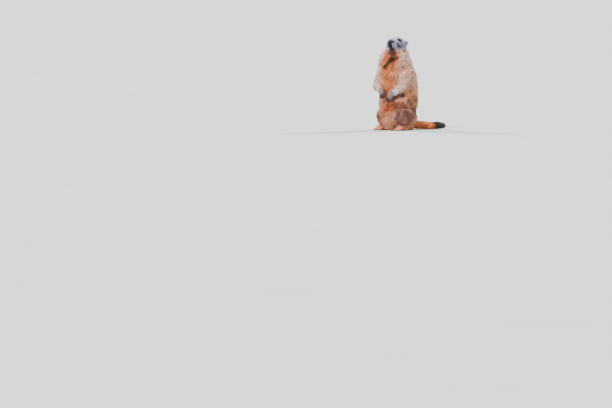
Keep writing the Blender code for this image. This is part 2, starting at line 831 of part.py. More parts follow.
def main():
    remove(*bpy.data.objects)
    body = body_core()
    locks = coat_locks(tree_of(body))
    ruff = [copy_of(piece, "ruff") for piece in locks if max(v.co.z for v in piece.data.vertices) > RUFF_HEIGHT * MM]
    nodes = head(ruff)
    unite(body, locks)
    boolean(body, half_space("floor", ((0, 0, -0.15), (0, 0, 1)), 1), "INTERSECT")
    boolean(body, half_space("below", HEAD_CUT, -1), "INTERSECT")
    for name, side in SIDES:
        foot = hind_foot(name, side)
        hand, wrist_cut = forepaw(name, side)
        boolean(body, grown(foot), "DIFFERENCE")
        near = REGION_MARGIN
        wide = REGION_MARGIN + GAP / MM
        arm = part_off(body, "forearm_" + name, arm_region(name, side, near), arm_region(name, side, wide))
        boolean(arm, half_space("before_wrist", wrist_cut, -1), "INTERSECT")
        boolean(body, grown(hand), "DIFFERENCE")
        shoulder, elbow, wrist = (Vector(mirrored(p, side)) for p in (SHOULDER, ELBOW, WRIST[name]))
        bend = ((shoulder - elbow).normalized() - (wrist - elbow).normalized()).normalized()
        upper = split(arm, "upper_arm_" + name, (tuple(elbow), tuple(bend)))
        leg = part_off(
            body, "hind_leg_" + name, thigh(side, near, REGION_SIDES), thigh(side, wide, REGION_SIDES)
        )
        nodes += [foot, hand, arm, upper, leg]
    tails = [tail(REGION_MARGIN + grow, REGION_SIDES, 1) for grow in (0, GAP / MM)]
    nodes.append(part_off(body, "tail", *tails))
    keep_largest(body)
    nodes.append(split(body, "neck", NECK_CUT))
    nodes.append(split(body, "chest", WAIST_CUT))
    body.name = "abdomen"
    nodes.append(body)
    finish(nodes)


main()
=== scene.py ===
"""An alpine marmot that sits upright on its haunches: its skin, coat, eyes, nose, claws and whiskers.

Sizes are in millimetres and are turned to metres by mm(). The animal faces -Y and its left side is +X.
"""

import logging
import math
from dataclasses import dataclass, field
from enum import Enum

import bmesh
import bpy
import numpy as np
from mathutils import Matrix, Vector
from mathutils.bvhtree import BVHTree
from mathutils.kdtree import KDTree


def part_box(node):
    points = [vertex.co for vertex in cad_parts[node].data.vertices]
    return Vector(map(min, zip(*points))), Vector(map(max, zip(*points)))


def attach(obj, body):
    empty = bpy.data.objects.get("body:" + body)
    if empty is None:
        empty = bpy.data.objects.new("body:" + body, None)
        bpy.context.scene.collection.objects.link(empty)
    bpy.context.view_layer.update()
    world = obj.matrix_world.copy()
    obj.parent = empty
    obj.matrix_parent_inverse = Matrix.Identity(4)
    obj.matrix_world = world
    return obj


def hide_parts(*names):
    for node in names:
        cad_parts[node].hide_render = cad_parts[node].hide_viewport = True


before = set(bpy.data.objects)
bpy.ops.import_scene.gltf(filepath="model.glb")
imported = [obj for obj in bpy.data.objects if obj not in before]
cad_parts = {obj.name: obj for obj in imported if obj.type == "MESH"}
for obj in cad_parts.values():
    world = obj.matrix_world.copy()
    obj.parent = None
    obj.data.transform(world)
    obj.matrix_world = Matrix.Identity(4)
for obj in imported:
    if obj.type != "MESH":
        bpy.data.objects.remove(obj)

LOG = logging.getLogger("marmot")
MM = 0.001
BODY = "root"
BAKE_MAP = "OFBake"
# The colours of skin and tufts: the coat's own colours, with painted shade laid on in places.
HUE = "coat_colour"
SIDES = (("left", 1), ("right", -1))

Row = tuple[float, ...]
Rows = tuple[Row, ...]


# Small tools for places and shapes.


def mm(values: Row) -> Vector:
    """Turns a place in millimetres to metres."""
    return Vector(values) * MM


def mirrored(values: Row, side: int) -> Row:
    """Carries a place on the left side to the side given as 1 or -1."""
    return (values[0] * side, *values[1:])


def linear(colour: Row) -> np.ndarray:
    """Turns a colour of 0 to 255, as seen on a screen, to linear light."""
    share = np.array(colour, float) / 255
    return np.where(share <= 0.04045, share / 12.92, ((share + 0.055) / 1.055) ** 2.4)


def smooth_through(rows: Rows, steps: int) -> list[Row]:
    """Finds rows of numbers along a smooth curve through the given rows.

    Args:
        rows: Rows that the curve passes through.
        steps: How many rows to make for each given one.

    Returns:
        The rows along the curve, with the last given row at the end.
    """
    padded = [tuple(rows[0])] + [tuple(row) for row in rows] + [tuple(rows[-1])]
    found = []
    for a, b, c, d in zip(padded, padded[1:], padded[2:], padded[3:]):
        for step in range(steps):
            t = step / steps
            weights = (
                -0.5 * t + t**2 - 0.5 * t**3,
                1 - 2.5 * t**2 + 1.5 * t**3,
                0.5 * t + 2 * t**2 - 1.5 * t**3,
                -0.5 * t**2 + 0.5 * t**3,
            )
            found.append(tuple(sum(w * v for w, v in zip(weights, column)) for column in zip(a, b, c, d)))
    found.append(tuple(padded[-1]))
    return found


# The directions of the waves that cross in ripple(), and the number that brings their sum to about 1.
WAVES = ((1.0, 0.7, 0.3), (-0.6, 1.1, 0.8), (0.4, -0.9, 1.2), (1.3, 0.2, -0.8))
WAVE_SUM = 2.6


def ripple(points: np.ndarray, size: float, seed: float) -> np.ndarray:
    """Makes smooth noise from a few crossing waves.

    Args:
        points: Places in metres, one a row.
        size: The size of its patches in millimetres.
        seed: A number that shifts the waves.

    Returns:
        A number from about -1 to 1 for each place.
    """
    scaled = points / (size * MM)
    total = np.zeros(len(points))
    for k, wave in enumerate(WAVES):
        total += np.sin(scaled @ np.array(wave) + seed * (1.7 + k))
    return total / WAVE_SUM


def unit(vectors: np.ndarray) -> np.ndarray:
    """Gives each row the length of one."""
    return vectors / np.maximum(np.linalg.norm(vectors, axis=1, keepdims=True), 1e-12)


def evenly(radius: float) -> Vector:
    """Gives the three equal radii of a ball."""
    return Vector([radius] * 3)


def facing(azimuth: float, elevation: float) -> Vector:
    """Gives the direction from the animal to what stands at an azimuth and an elevation in degrees."""
    a, e = math.radians(azimuth), math.radians(elevation)
    return Vector((math.sin(a) * math.cos(e), -math.cos(a) * math.cos(e), math.sin(e)))


# The rings of a tube's round end, in degrees from its widest ring.
CAP_TURNS = (80, 60, 40, 20)


class Clay:
    """Closed shapes that are pressed into one smooth skin."""

    def __init__(self) -> None:
        """Starts with no shape."""
        self.bm = bmesh.new()

    def ball(self, middle: Vector, radii: Vector, turn: Matrix | None = None, sides: int = 24) -> None:
        """Adds an ellipsoid with its middle and radii in metres, its radii lying along the turned axes."""
        place = Matrix.Translation(middle) @ (turn or Matrix.Identity(4)) @ Matrix.Diagonal((*radii, 1))
        bmesh.ops.create_uvsphere(self.bm, u_segments=sides, v_segments=sides // 2, radius=1, matrix=place)

    def loft(self, rings: list[tuple[Vector, Vector, Vector]], sides: int = 24, power: float = 2.0) -> None:
        """Adds a closed skin over rings.

        Args:
            rings: For each ring its middle and its two half axes, in metres.
            sides: How many corners a ring has.
            power: 2 for an ellipse, and more for a squarer ring.
        """
        turns = [2 * math.pi * i / sides for i in range(sides)]
        loops = []
        for middle, across, deep in rings:
            loop = []
            for turn in turns:
                x = math.copysign(abs(math.cos(turn)) ** (2 / power), math.cos(turn))
                y = math.copysign(abs(math.sin(turn)) ** (2 / power), math.sin(turn))
                loop.append(self.bm.verts.new(middle + across * x + deep * y))
            loops.append(loop)
        for lower, upper in zip(loops, loops[1:]):
            for i in range(sides):
                j = (i + 1) % sides
                self.bm.faces.new((lower[i], lower[j], upper[j], upper[i]))
        for loop, middle in ((loops[0], rings[0][0]), (loops[-1], rings[-1][0])):
            pole = self.bm.verts.new(middle)
            for i in range(sides):
                self.bm.faces.new((loop[i], loop[(i + 1) % sides], pole))

    @staticmethod
    def cap(middle: Vector, size: float, way: Vector, turn: float) -> tuple[Vector, float, Vector]:
        """Gives the middle, radius and way of one ring of a round end."""
        angle = math.radians(turn)
        return middle + way * size * math.sin(angle), size * math.cos(angle), way

    def tube(self, places: Rows, radii: Row, flat: float = 1.0, sides: int = 20, steps: int = 4) -> None:
        """Adds a limb with round ends.

        Args:
            places: Places along it in millimetres.
            radii: Its radius at each place, in millimetres.
            flat: Its depth along Z over its width.
            sides: How many corners a ring has.
            steps: How many rings lie between two places.
        """
        rows = smooth_through(tuple((*place, radius) for place, radius in zip(places, radii)), steps)
        middles = [mm(row[:3]) for row in rows]
        sizes = [row[3] * MM for row in rows]
        last = len(middles) - 1
        ways = [(middles[min(i + 1, last)] - middles[max(i - 1, 0)]).normalized() for i in range(last + 1)]
        stations = [self.cap(middles[0], sizes[0], ways[0], -turn) for turn in CAP_TURNS]
        stations += list(zip(middles, sizes, ways))
        stations += [self.cap(middles[-1], sizes[-1], ways[-1], turn) for turn in reversed(CAP_TURNS)]
        rings = []
        for middle, size, way in stations:
            reference = Vector((0, 0, 1)) if abs(way.z) < 0.8 else Vector((0, -1, 0))
            across = way.cross(reference).normalized()
            deep = across.cross(way).normalized()
            rings.append((middle, across * size, deep * size * flat))
        self.loft(rings, sides)

    def object(self, name: str) -> bpy.types.Object:
        """Ends the work and returns the shapes as one scene object.

        Args:
            name: The object's name.

        Returns:
            The object.
        """
        bmesh.ops.recalc_face_normals(self.bm, faces=self.bm.faces)
        mesh = bpy.data.meshes.new(name)
        self.bm.to_mesh(mesh)
        self.bm.free()
        return placed(name, mesh)

    def pressed(self, name: str, voxel: float, smoothing: int) -> bpy.types.Object:
        """Ends the work and returns one closed smooth skin over every shape.

        Args:
            name: The object's name.
            voxel: The size of its faces in millimetres.
            smoothing: How many times it is smoothed.

        Returns:
            The skin's object.
        """
        made = self.object(name)
        remesh = made.modifiers.new("remesh", "REMESH")
        remesh.mode = "VOXEL"
        remesh.voxel_size = voxel * MM
        smooth = made.modifiers.new("smooth", "SMOOTH")
        smooth.iterations = smoothing
        smooth.factor = 0.5
        applied(made)
        return made


def applied(made: bpy.types.Object) -> None:
    """Turns what the modifiers of an object make into its own mesh.

    Args:
        made: The object.
    """
    bpy.context.view_layer.update()
    graph = bpy.context.evaluated_depsgraph_get()
    mesh = bpy.data.meshes.new_from_object(made.evaluated_get(graph))
    made.modifiers.clear()
    made.data = mesh


def cut_with(made: bpy.types.Object, other: bpy.types.Object) -> None:
    """Cuts a closed object out of another one, and removes the cutter.

    Args:
        made: The object that is cut.
        other: The closed object that is taken away.
    """
    cut = made.modifiers.new("cut", "BOOLEAN")
    cut.operation = "DIFFERENCE"
    cut.object = other
    cut.solver = "MANIFOLD"
    applied(made)
    bpy.data.objects.remove(other)


def kept_beyond(made: bpy.types.Object, point: Vector, way: Vector) -> None:
    """Keeps the side of a plane that a direction points to, and closes the cut.

    Args:
        made: The object that is cut.
        point: A place on the plane, in metres.
        way: The direction that points to the side that is kept.
    """
    bm = bmesh.new()
    bm.from_mesh(made.data)
    cut = bmesh.ops.bisect_plane(
        bm, geom=bm.verts[:] + bm.edges[:] + bm.faces[:], plane_co=point, plane_no=way, clear_inner=True
    )
    edges = [item for item in cut["geom_cut"] if isinstance(item, bmesh.types.BMEdge)]
    bmesh.ops.holes_fill(bm, edges=edges)
    bmesh.ops.recalc_face_normals(bm, faces=bm.faces)
    bm.to_mesh(made.data)
    bm.free()


def joined(name: str, objects: list[bpy.types.Object]) -> bpy.types.Object:
    """Makes one object of several meshes, which are removed.

    Args:
        name: The new object's name.
        objects: The objects that it takes the place of.

    Returns:
        The one object.
    """
    bm = bmesh.new()
    for other in objects:
        bm.from_mesh(other.data)
        bpy.data.objects.remove(other)
    mesh = bpy.data.meshes.new(name)
    bm.to_mesh(mesh)
    bm.free()
    return placed(name, mesh)


def in_order(made: bpy.types.Object) -> None:
    """Sorts an object's points and faces by place, so that every run draws the same tufts on them.

    Args:
        made: The object that is sorted. Its places are rounded to a micrometre.
    """
    places = np.round(values_of(made.data, "co") / MM, 3)
    order = np.lexsort(places.T)
    rank = np.empty(len(order), int)
    rank[order] = np.arange(len(order))
    faces = []
    for polygon in made.data.polygons:
        corners = [int(rank[index]) for index in polygon.vertices]
        first = corners.index(min(corners))
        faces.append(tuple(corners[first:] + corners[:first]))
    mesh = bpy.data.meshes.new(made.name)
    mesh.from_pydata(places[order] * MM, [], sorted(faces))
    mesh.update()
    made.data = mesh


def placed(name: str, data: bpy.types.ID) -> bpy.types.Object:
    """Puts a new object in the scene.

    Args:
        name: The object's name.
        data: Its mesh, lamp or camera.

    Returns:
        The object.
    """
    made = bpy.data.objects.new(name, data)
    bpy.context.scene.collection.objects.link(made)
    return made


def dressed(piece: bpy.types.Object, material: bpy.types.Material) -> None:
    """Gives a piece its one material and smooth shading.

    Args:
        piece: The piece.
        material: The finish that it wears.
    """
    piece.data.materials.clear()
    piece.data.materials.append(material)
    piece.data.shade_smooth()


def coloured(mesh: bpy.types.Mesh, name: str, colours: np.ndarray) -> None:
    """Writes a colour for each point of a mesh.

    Args:
        mesh: The mesh that carries them.
        name: The name that they are kept under.
        colours: Linear red, green and blue, one point a row.
    """
    layer = mesh.color_attributes.new(name, "FLOAT_COLOR", "POINT")
    data = np.ones((len(mesh.vertices), 4), np.float32)
    data[:, :3] = colours
    layer.data.foreach_set("color", data.ravel())


def values_of(mesh: bpy.types.Mesh, key: str) -> np.ndarray:
    """Reads three numbers for each point of a mesh.

    Args:
        mesh: The mesh.
        key: Which numbers: co for the points' places, normal for the ways they face.

    Returns:
        The numbers, one point a row.
    """
    values = np.empty(len(mesh.vertices) * 3, np.float32)
    mesh.vertices.foreach_get(key, values)
    return values.reshape(-1, 3).astype(float)


def move_points(mesh: bpy.types.Mesh, places: np.ndarray) -> None:
    """Moves a mesh's points to the given places, in metres and one a row."""
    mesh.vertices.foreach_set("co", places.astype(np.float32).ravel())
    mesh.update()


def nearest_on(mesh: bpy.types.Mesh) -> BVHTree:
    """Makes the tree that finds the nearest place on a mesh."""
    return BVHTree.FromPolygons([v.co for v in mesh.vertices], [tuple(p.vertices) for p in mesh.polygons])


# The animal's build.


@dataclass(frozen=True)
class Build:
    """The forms of the body out to the coat's outline, and how deep the skin lies under each."""

    # Each ring is its height, half width, half depth and how far back its middle lies.
    torso: Rows = (
        (-6, 52, 46, 8),
        (8, 74, 68, 7),
        (26, 86, 84, 5),
        (50, 91, 93, 4),
        (100, 93, 95, 7),
        (150, 97, 98, 11),
        (200, 101, 99, 9),
        (250, 102, 98, 3),
        (285, 100, 95, -3),
        (315, 94, 88, -9),
        (345, 85, 80, -13),
        (375, 74, 72, -14),
        (400, 64, 66, -9),
        (425, 52, 54, 0),
        (442, 34, 36, 6),
    )
    torso_depth: float = 9.0
    # The heights between which the rings lead the torso's coat.
    coat_span: Row = (20, 410)
    hip: Row = (24, 38, 66)
    hip_radii: Row = (50, 50, 60)
    breast: Row = (44, -35, 316)
    breast_radii: Row = (33, 33, 72)
    thigh_centre: Row = (62, -20, 76)
    thigh_radii: Row = (43, 63, 61)
    # The depth of the skin, and the length and rise of the hair, on the left thigh and on the right.
    thigh_depth: Row = (11.0, 15.0)
    thigh_hair: Row = (25.0, 19.0)
    thigh_lift: Row = (10.0, 5.5)
    shoulder: Row = (67, -20, 296)
    elbow: Row = (81, -60, 226)
    wrists: Rows = ((36, -99, 184), (25, -99, 203))
    paw_tips: Rows = ((22, -107, 146), (11, -107, 163))
    arm_radii: Row = (35, 31, 24)
    arm_depth: float = 6.5
    forearm_radii: Row = (24, 19, 12)
    forearm_depths: Row = (6.0, 4.5, 1.5)
    # The forms of the palm and the wrist: how far past the wrist each lies, and its radii.
    palm: tuple[float, Row] = (14, (11.6, 7.2, 16.5))
    cuff: tuple[float, Row] = (2, (10.5, 9.5, 12))
    shin: Row = (64, -34, 50)
    heel: Row = (58, 2, 17)
    instep: Row = (62, -42, 15)
    ball: Row = (66, -74, 10)
    foot_radii: Row = (21, 17, 17, 13)
    foot_depth: float = 1.6
    tail: Rows = ((2, 66, 38), (22, 102, 28), (62, 140, 22), (110, 180, 21), (144, 208, 20))
    tail_radii: Row = (24, 24, 25, 23, 13)
    tail_bone: Rows = ((2, 66, 38), (22, 102, 28), (62, 140, 22), (104, 175, 21), (134, 200, 20))
    tail_flesh: Row = (16, 13, 11, 9, 5)
    # No hair of the tail's tip goes further to the left, or further back.
    tail_reach: Row = (160, 225.5)

    def torso_rings(self, depth: float, low: float = -math.inf) -> list[tuple[Vector, Vector, Vector]]:
        """Gives the rings of the torso, inset by a depth, from a height up.

        Args:
            depth: How far they are inset, in millimetres.
            low: The least height of a ring, in millimetres.

        Returns:
            For each ring its middle and its two half axes, in metres.
        """
        rings = []
        for height, width, deep, back in smooth_through(self.torso, 3):
            if height >= low:
                rings.append((mm((0, back, height)), mm((width - depth, 0, 0)), mm((0, deep - depth, 0))))
        return rings


@dataclass(frozen=True)
class Head:
    """The head in its own frame: u runs forward, then sideways to its left, and w runs up."""

    middle: Row = (0, -5, 438)
    pitch: float = 14
    yaw: float = 9
    squareness: float = 2.4
    # Each ring is u, half width, top, bottom and how deep the skin lies under the coat.
    rings: Rows = (
        (70, 8, 3, -15, 0.8),
        (66, 16, 10, -24, 0.9),
        (57, 21, 17, -31, 1.2),
        (44, 26, 23, -36, 1.6),
        (32, 31, 29, -39, 2.2),
        (18, 37, 34, -42, 2.8),
        (0, 41, 38, -45, 3.6),
        (-20, 43, 38, -48, 4.6),
        (-38, 42, 33, -50, 6.0),
        (-51, 38, 25, -50, 7.5),
        (-60, 30, 13, -48, 9.0),
        (-65, 16, 0, -42, 9.0),
    )
    # Each form is its middle and its radii, both as u, sideways and w.
    cheek: Rows = ((2, 31, -16), (29, 15, 21))
    pad: Rows = ((54, 12, -12), (13.5, 11.5, 11.5))
    brow: Rows = ((18, 23, 18.5), (18, 8.5, 5.5))
    chin: Rows = ((50, 0, -29), (12, 11, 8))
    nose: Rows = ((66.5, 0, -1.5), (5.4, 11.2, 7.6))
    mouth: Rows = (
        (69, 0, -12),
        (69, 1.5, -18),
        (65, 8, -23),
        (56, 16, -27),
        (45, 22, -29),
        (36, 26, -30),
    )
    mouth_depth: float = 1.5
    mouth_width: float = 1.3
    # How much the lips swell, how far from the mouth line, and how wide the swelling is.
    lip_swell: float = 0.5
    lip_place: float = 3.2
    lip_width: float = 1.6
    gaze: Row = (0.44, 0.86, 0.26)
    # The size of the beads that the lids are pressed from, the shares of it in the upper and the lower lid,
    # and how many beads stand round the eye.
    lid: float = 1.25
    lid_shares: Row = (1.15, 0.9)
    lid_beads: int = 28
    # The half width and height of the lids' almond, and how far out and forward its beads stand, all over
    # the eye's radius.
    almond: Row = (1.02, 0.8)
    wrap: Row = (0.93, 0.92)
    ear: Row = (-27, 38.5, 12)
    ear_radii: Row = (10.0, 5.0, 11.0)
    ear_turns: Row = (38, 32)
    ear_cup: Row = (7.6, 4.6, 8.6)
    ear_cup_place: Row = (0, -4.0, 1.5)
    # A place on the plane where the face takes over from the trunk, and the plane's way up.
    cut: Rows = ((0, 0, 400), (0, -0.3, 0.954))

    def matrix(self) -> Matrix:
        """Gives the matrix from the head's frame to the body's."""
        return (
            Matrix.Translation(mm(self.middle))
            @ Matrix.Rotation(math.radians(self.yaw), 4, "Z")
            @ Matrix.Rotation(math.radians(-self.pitch), 4, "X")
        )

    def local(self, points: np.ndarray) -> np.ndarray:
        """Carries places in metres to the head's frame: sideways, back and up, in millimetres."""
        inverse = np.array(self.matrix().inverted())
        return (points @ inverse[:3, :3].T + inverse[:3, 3]) / MM

    def turn(self) -> Matrix:
        """Gives the head's turn alone."""
        return self.matrix().to_3x3().to_4x4()

    def at(self, place: Row, side: int = 1) -> Vector:
        """Gives a place on the head, from u, sideways and w, in the body's frame."""
        forward, sideways, up = place
        return self.matrix() @ mm((sideways * side, -forward, up))

    def way(self, direction: Row, side: int = 1) -> Vector:
        """Gives a direction on the head in the body's frame."""
        forward, sideways, up = direction
        return (self.matrix().to_3x3() @ Vector((sideways * side, -forward, up))).normalized()

    def swell(self, clay: Clay, form: Rows, side: int = 1, sides: int = 24) -> None:
        """Adds a form of the head to the clay, on the side given as 1 or -1."""
        place, (forward, sideways, up) = form
        clay.ball(self.at(place, side), mm((sideways, forward, up)), self.turn(), sides)


BUILD = Build()
HEAD = Head()


# Each ring of a claw: how far along the claw it lies, and how thick the claw is there.
CLAW_RINGS: Rows = (
    (-0.3, 0.95),
    (0.0, 1.0),
    (0.25, 0.95),
    (0.5, 0.78),
    (0.75, 0.5),
    (0.92, 0.24),
    (1.0, 0.06),
)


@dataclass(frozen=True)
class Digits:
    """The toes or fingers of one paw and their claws."""

    root: Vector
    along: Vector
    across: Vector
    down: Vector
    width: float
    length: float
    radius: float
    spread: Row
    lengths: Row
    claw: float
    fan: float = 0.16
    knuckle: float = 0.55
    arch: float = 0.25
    droop: float = 0.15
    claw_girth: float = 0.46
    claw_curve: float = 0.34

    def places(self) -> list[tuple[Vector, Vector, Vector, Vector]]:
        """Works out where the digits run.

        Returns:
            Each digit's start, knuckle, tip and the way it points.
        """
        found = []
        for place, share in zip(self.spread, self.lengths):
            start = self.root + self.across * self.width * MM * place
            start -= self.along * abs(place) * self.radius * MM
            way = (self.along + self.across * place * self.fan).normalized()
            long, thick = self.length * MM * share, self.radius * MM
            knuckle = start + way * long * self.knuckle - self.down * thick * self.arch
            found.append((start, knuckle, start + way * long + self.down * thick * self.droop, way))
        return found

    def shape(self, clay: Clay) -> None:
        """Presses the digits and the pads under their tips into the clay.

        Args:
            clay: The clay of the paw.
        """
        size = self.radius
        for start, knuckle, tip, way in self.places():
            points = tuple(tuple(point / MM) for point in (start, knuckle, tip))
            clay.tube(points, (size, size * 1.05, size * 0.85), sides=12, steps=2)
            pad = tip - way * size * 0.4 * MM + self.down * size * 0.35 * MM
            clay.ball(pad, evenly(size * 0.8 * MM), sides=12)

    def claws(self, clay: Clay) -> None:
        """Adds each digit's curved claw.

        Args:
            clay: The clay that the claws are made in.
        """
        size = self.radius * self.claw_girth * MM
        long = self.claw * MM
        for _, _, tip, way in self.places():
            root = tip - self.down * size * 0.4
            side = way.cross(self.down).normalized()
            rings = []
            for share, thick in CLAW_RINGS:
                middle = root + way * long * share + self.down * long * self.claw_curve * max(share, 0) ** 2
                rings.append((middle, side * size * 0.8 * thick, self.down * size * 1.25 * thick))
            clay.loft(rings, 10)


def fore_digits(index: int, side: int) -> Digits:
    """Gives the fingers of the paw of one side.

    Args:
        index: The side's place in SIDES.
        side: The side as 1 or -1.

    Returns:
        The fingers.
    """
    wrist, tip = (mm(mirrored(rows[index], side)) for rows in (BUILD.wrists, BUILD.paw_tips))
    along = (tip - wrist).normalized()
    across = (Vector((1, 0, 0)) - along * along.x).normalized()
    down = across.cross(along).normalized()
    return Digits(
        root=wrist + along * 23 * MM,
        along=along,
        across=across,
        down=-down if down.y < 0 else down,
        width=8.6,
        length=15,
        radius=3.4,
        spread=(-1.0, -0.36, 0.34, 1.0),
        lengths=(0.82, 1.0, 0.98, 0.8),
        claw=11,
    )


def hind_digits(side: int) -> Digits:
    """Gives the toes of the foot of one side.

    Args:
        side: The side as 1 or -1.

    Returns:
        The toes.
    """
    ball, instep = mm(mirrored(BUILD.ball, side)), mm(mirrored(BUILD.instep, side))
    along = ball - instep
    along = Vector((along.x, along.y, 0)).normalized()
    return Digits(
        root=Vector((ball.x, ball.y, 5 * MM)) + along * 3 * MM,
        along=along,
        across=Vector((0, 0, 1)).cross(along).normalized(),
        down=Vector((0, 0, -1)),
        width=11.5,
        length=19,
        radius=4.2,
        spread=(-1.0, -0.5, 0.0, 0.5, 1.0),
        lengths=(0.74, 0.96, 1.0, 0.94, 0.7),
        claw=9,
    )


# Markings and the lie of the coat.


class Shade(Enum):
    """The colours of the coat, as they look in daylight. The dark ones are also laid on as painted shade
    round the mouth and chin, along the throat's fold and beside the forearms.
    """

    SAND = (252, 168, 130)
    CREAM = (255, 192, 168)
    FOX = (248, 134, 72)
    RUST = (206, 98, 42)
    AMBER = (250, 160, 104)
    FAWN = (196, 134, 108)
    SALMON = (255, 158, 122)
    UMBER = (120, 82, 74)
    BARK = (66, 34, 20)
    BONE = (255, 210, 200)
    PEARL = (112, 104, 128)
    SILVER = (194, 193, 216)
    LILAC = (138, 134, 168)
    SLATE = (42, 48, 88)
    INK = (14, 13, 22)
    ASH = (132, 114, 118)
    PLUM = (112, 92, 112)
    SOOT = (18, 15, 26)
    HIDE = (50, 44, 56)

    def light(self) -> np.ndarray:
        """Gives the colour in linear light."""
        return linear(self.value)


@dataclass(frozen=True)
class Limb:
    """A stretch of the body with one kind of coat: where it runs and how its hair lies."""

    name: str
    path: Rows
    radii: Row
    shade: Shade
    # A tuft's length, how far its tip rises and its width, in millimetres.
    hair: float
    lift: float
    width: float
    lie: Row | None = None
    grizzle: float = 0.15

    def measure(self, points: np.ndarray) -> tuple[np.ndarray, np.ndarray, np.ndarray]:
        """Measures how far places lie from the limb.

        Args:
            points: Places in metres, one a row.

        Returns:
            How far each lies outside the limb's surface in millimetres, the way the hair lies there, and
            how far along the limb it is, from 0 to 1.
        """
        places = [np.array(place, float) * MM for place in self.path]
        best = np.full(len(points), np.inf)
        ways = np.zeros((len(points), 3))
        share = np.zeros(len(points))
        count = len(places) - 1
        for k, (a, b) in enumerate(zip(places, places[1:])):
            line = b - a
            t = np.clip((points - a) @ line / (line @ line), 0, 1)
            radius = (self.radii[k] + (self.radii[k + 1] - self.radii[k]) * t) * MM
            away = (np.linalg.norm(points - (a + t[:, None] * line), axis=1) - radius) / MM
            nearer = away < best
            best = np.where(nearer, away, best)
            ways[nearer] = line / np.linalg.norm(line)
            share = np.where(nearer, (k + t) / count, share)
        if self.lie is not None:
            ways[:] = np.array(self.lie) / np.linalg.norm(self.lie)
        return best, ways, share


def stretches() -> tuple[Limb, ...]:
    """Lists the stretches of the body that carry a coat.

    Returns:
        The torso, the head and the tail, and then the limbs of each side.
    """
    low, high = BUILD.coat_span
    rings = [ring for ring in BUILD.torso[::-1] if low < ring[0] < high]
    torso = tuple((0.0, back, height) for height, _, _, back in rings)
    torso_round = tuple((width + deep) / 2 for _, width, deep, _ in rings)
    skull = tuple(tuple(HEAD.at((u, 0, (top + low) / 2)) / MM) for u, _, top, low, _ in HEAD.rings)
    skull_round = tuple((width + (top - low) / 2) / 2 for _, width, top, low, _ in HEAD.rings)
    found = [
        Limb("torso", torso, torso_round, Shade.SAND, 27, 10.5, 1.25, (0, 0.02, -1), 0.25),
        Limb("head", skull, skull_round, Shade.SILVER, 7.5, 2.6, 0.62, None, 0.4),
        Limb("tail", BUILD.tail, BUILD.tail_radii, Shade.FOX, 34, 11, 1.25, None, 0.25),
    ]
    for index, (name, side) in enumerate(SIDES):
        shoulder, elbow, wrist, tip, hip, shin, heel, ball = (
            mirrored(place, side)
            for place in (
                BUILD.shoulder,
                BUILD.elbow,
                BUILD.wrists[index],
                BUILD.paw_tips[index],
                BUILD.thigh_centre,
                BUILD.shin,
                BUILD.heel,
                BUILD.ball,
            )
        )
        toe = (ball[0], ball[1] - 26, 6)
        knee = (hip[0], hip[1] - 12, hip[2] - 6)
        thigh = (BUILD.thigh_hair[index], BUILD.thigh_lift[index], 1.2, (0, 0.22, -0.97), 0.7)
        found += [
            Limb("arm_" + name, (shoulder, elbow), (35, 24), Shade.CREAM, 22, 7.5, 1.15),
            Limb("forearm_" + name, (elbow, wrist), (24, 13), Shade.BONE, 13, 4.0, 0.9),
            Limb("paw_" + name, (wrist, tip), (12, 8), Shade.HIDE, 4.5, 1.1, 0.6, None, 0.1),
            Limb("thigh_" + name, (hip, knee), (52, 52), Shade.FAWN, *thigh),
            Limb("shin_" + name, (shin, heel), (22, 17), Shade.SALMON, 8, 2.4, 0.8, (0, -0.5, -0.8), 0.2),
            Limb("foot_" + name, (heel, ball, toe), (15, 13, 9), Shade.SALMON, 5, 1.3, 0.65, None, 0.15),
        ]
    return tuple(found)


@dataclass(frozen=True)
class Marking:
    """A patch or streak of colour in the coat, of painted shade, or of longer or shorter hair, with a soft
    edge.
    """

    # The middle of a patch or the start of a streak, and its radii. A marking whose parts name the head is
    # given as u, sideways and w where it is framed, and any other as sideways, back and up.
    place: Row
    reach: Row
    shade: Shade
    strength: float = 1.0
    # How many times longer the hair is, and the share of it that is dark or pale at the tip.
    hair: float = 1.0
    grizzle: float | None = None
    parts: tuple[str, ...] = ("torso",)
    both: bool = False
    ragged: float = 0.22
    end: Row | None = None
    framed: bool = True
    # The size of the waves of a ragged edge, where the edge fades out and how wide it is.
    wave: float = 7.0
    outer: float = 1.3
    fade: float = 0.6

    def cover(self, points: np.ndarray) -> np.ndarray:
        """Works out how strongly the marking covers each place.

        Args:
            points: Places in metres, one a row.

        Returns:
            A number from 0 to the marking's strength for each place.
        """
        total = np.zeros(len(points))
        edge = ripple(points, self.wave, 3.1) * self.ragged
        on_head = self.framed and "head" in self.parts
        places = HEAD.local(points) if on_head else points / MM
        reach = np.abs(np.array(self.turned(self.reach, 1, on_head)))
        for side in (1, -1) if self.both else (1,):
            start = np.array(self.turned(self.place, side, on_head))
            line = np.array(self.turned(self.end or self.place, side, on_head)) - start
            share = np.clip((places - start) @ line / max(line @ line, 1e-9), 0, 1)
            far = np.linalg.norm((places - start - share[:, None] * line) / reach, axis=1) + edge
            total = np.maximum(total, np.clip((self.outer - far) / self.fade, 0, 1))
        return total * total * (3 - 2 * total) * self.strength

    @staticmethod
    def turned(values: Row, side: int, on_head: bool) -> Row:
        """Orders a place as sideways, back and up.

        Args:
            values: The place.
            side: The side that it is carried to, as 1 or -1.
            on_head: Whether it is given as u, sideways and w.

        Returns:
            The place in the order of the axes.
        """
        if on_head:
            forward, sideways, up = values
            return (sideways * side, -forward, up)
        return mirrored(values, side)


TRUNK = ("torso", "arm")
LOW = ("torso", "thigh", "shin")
HEADS = ("head",)
RUFF = ("head", "torso")
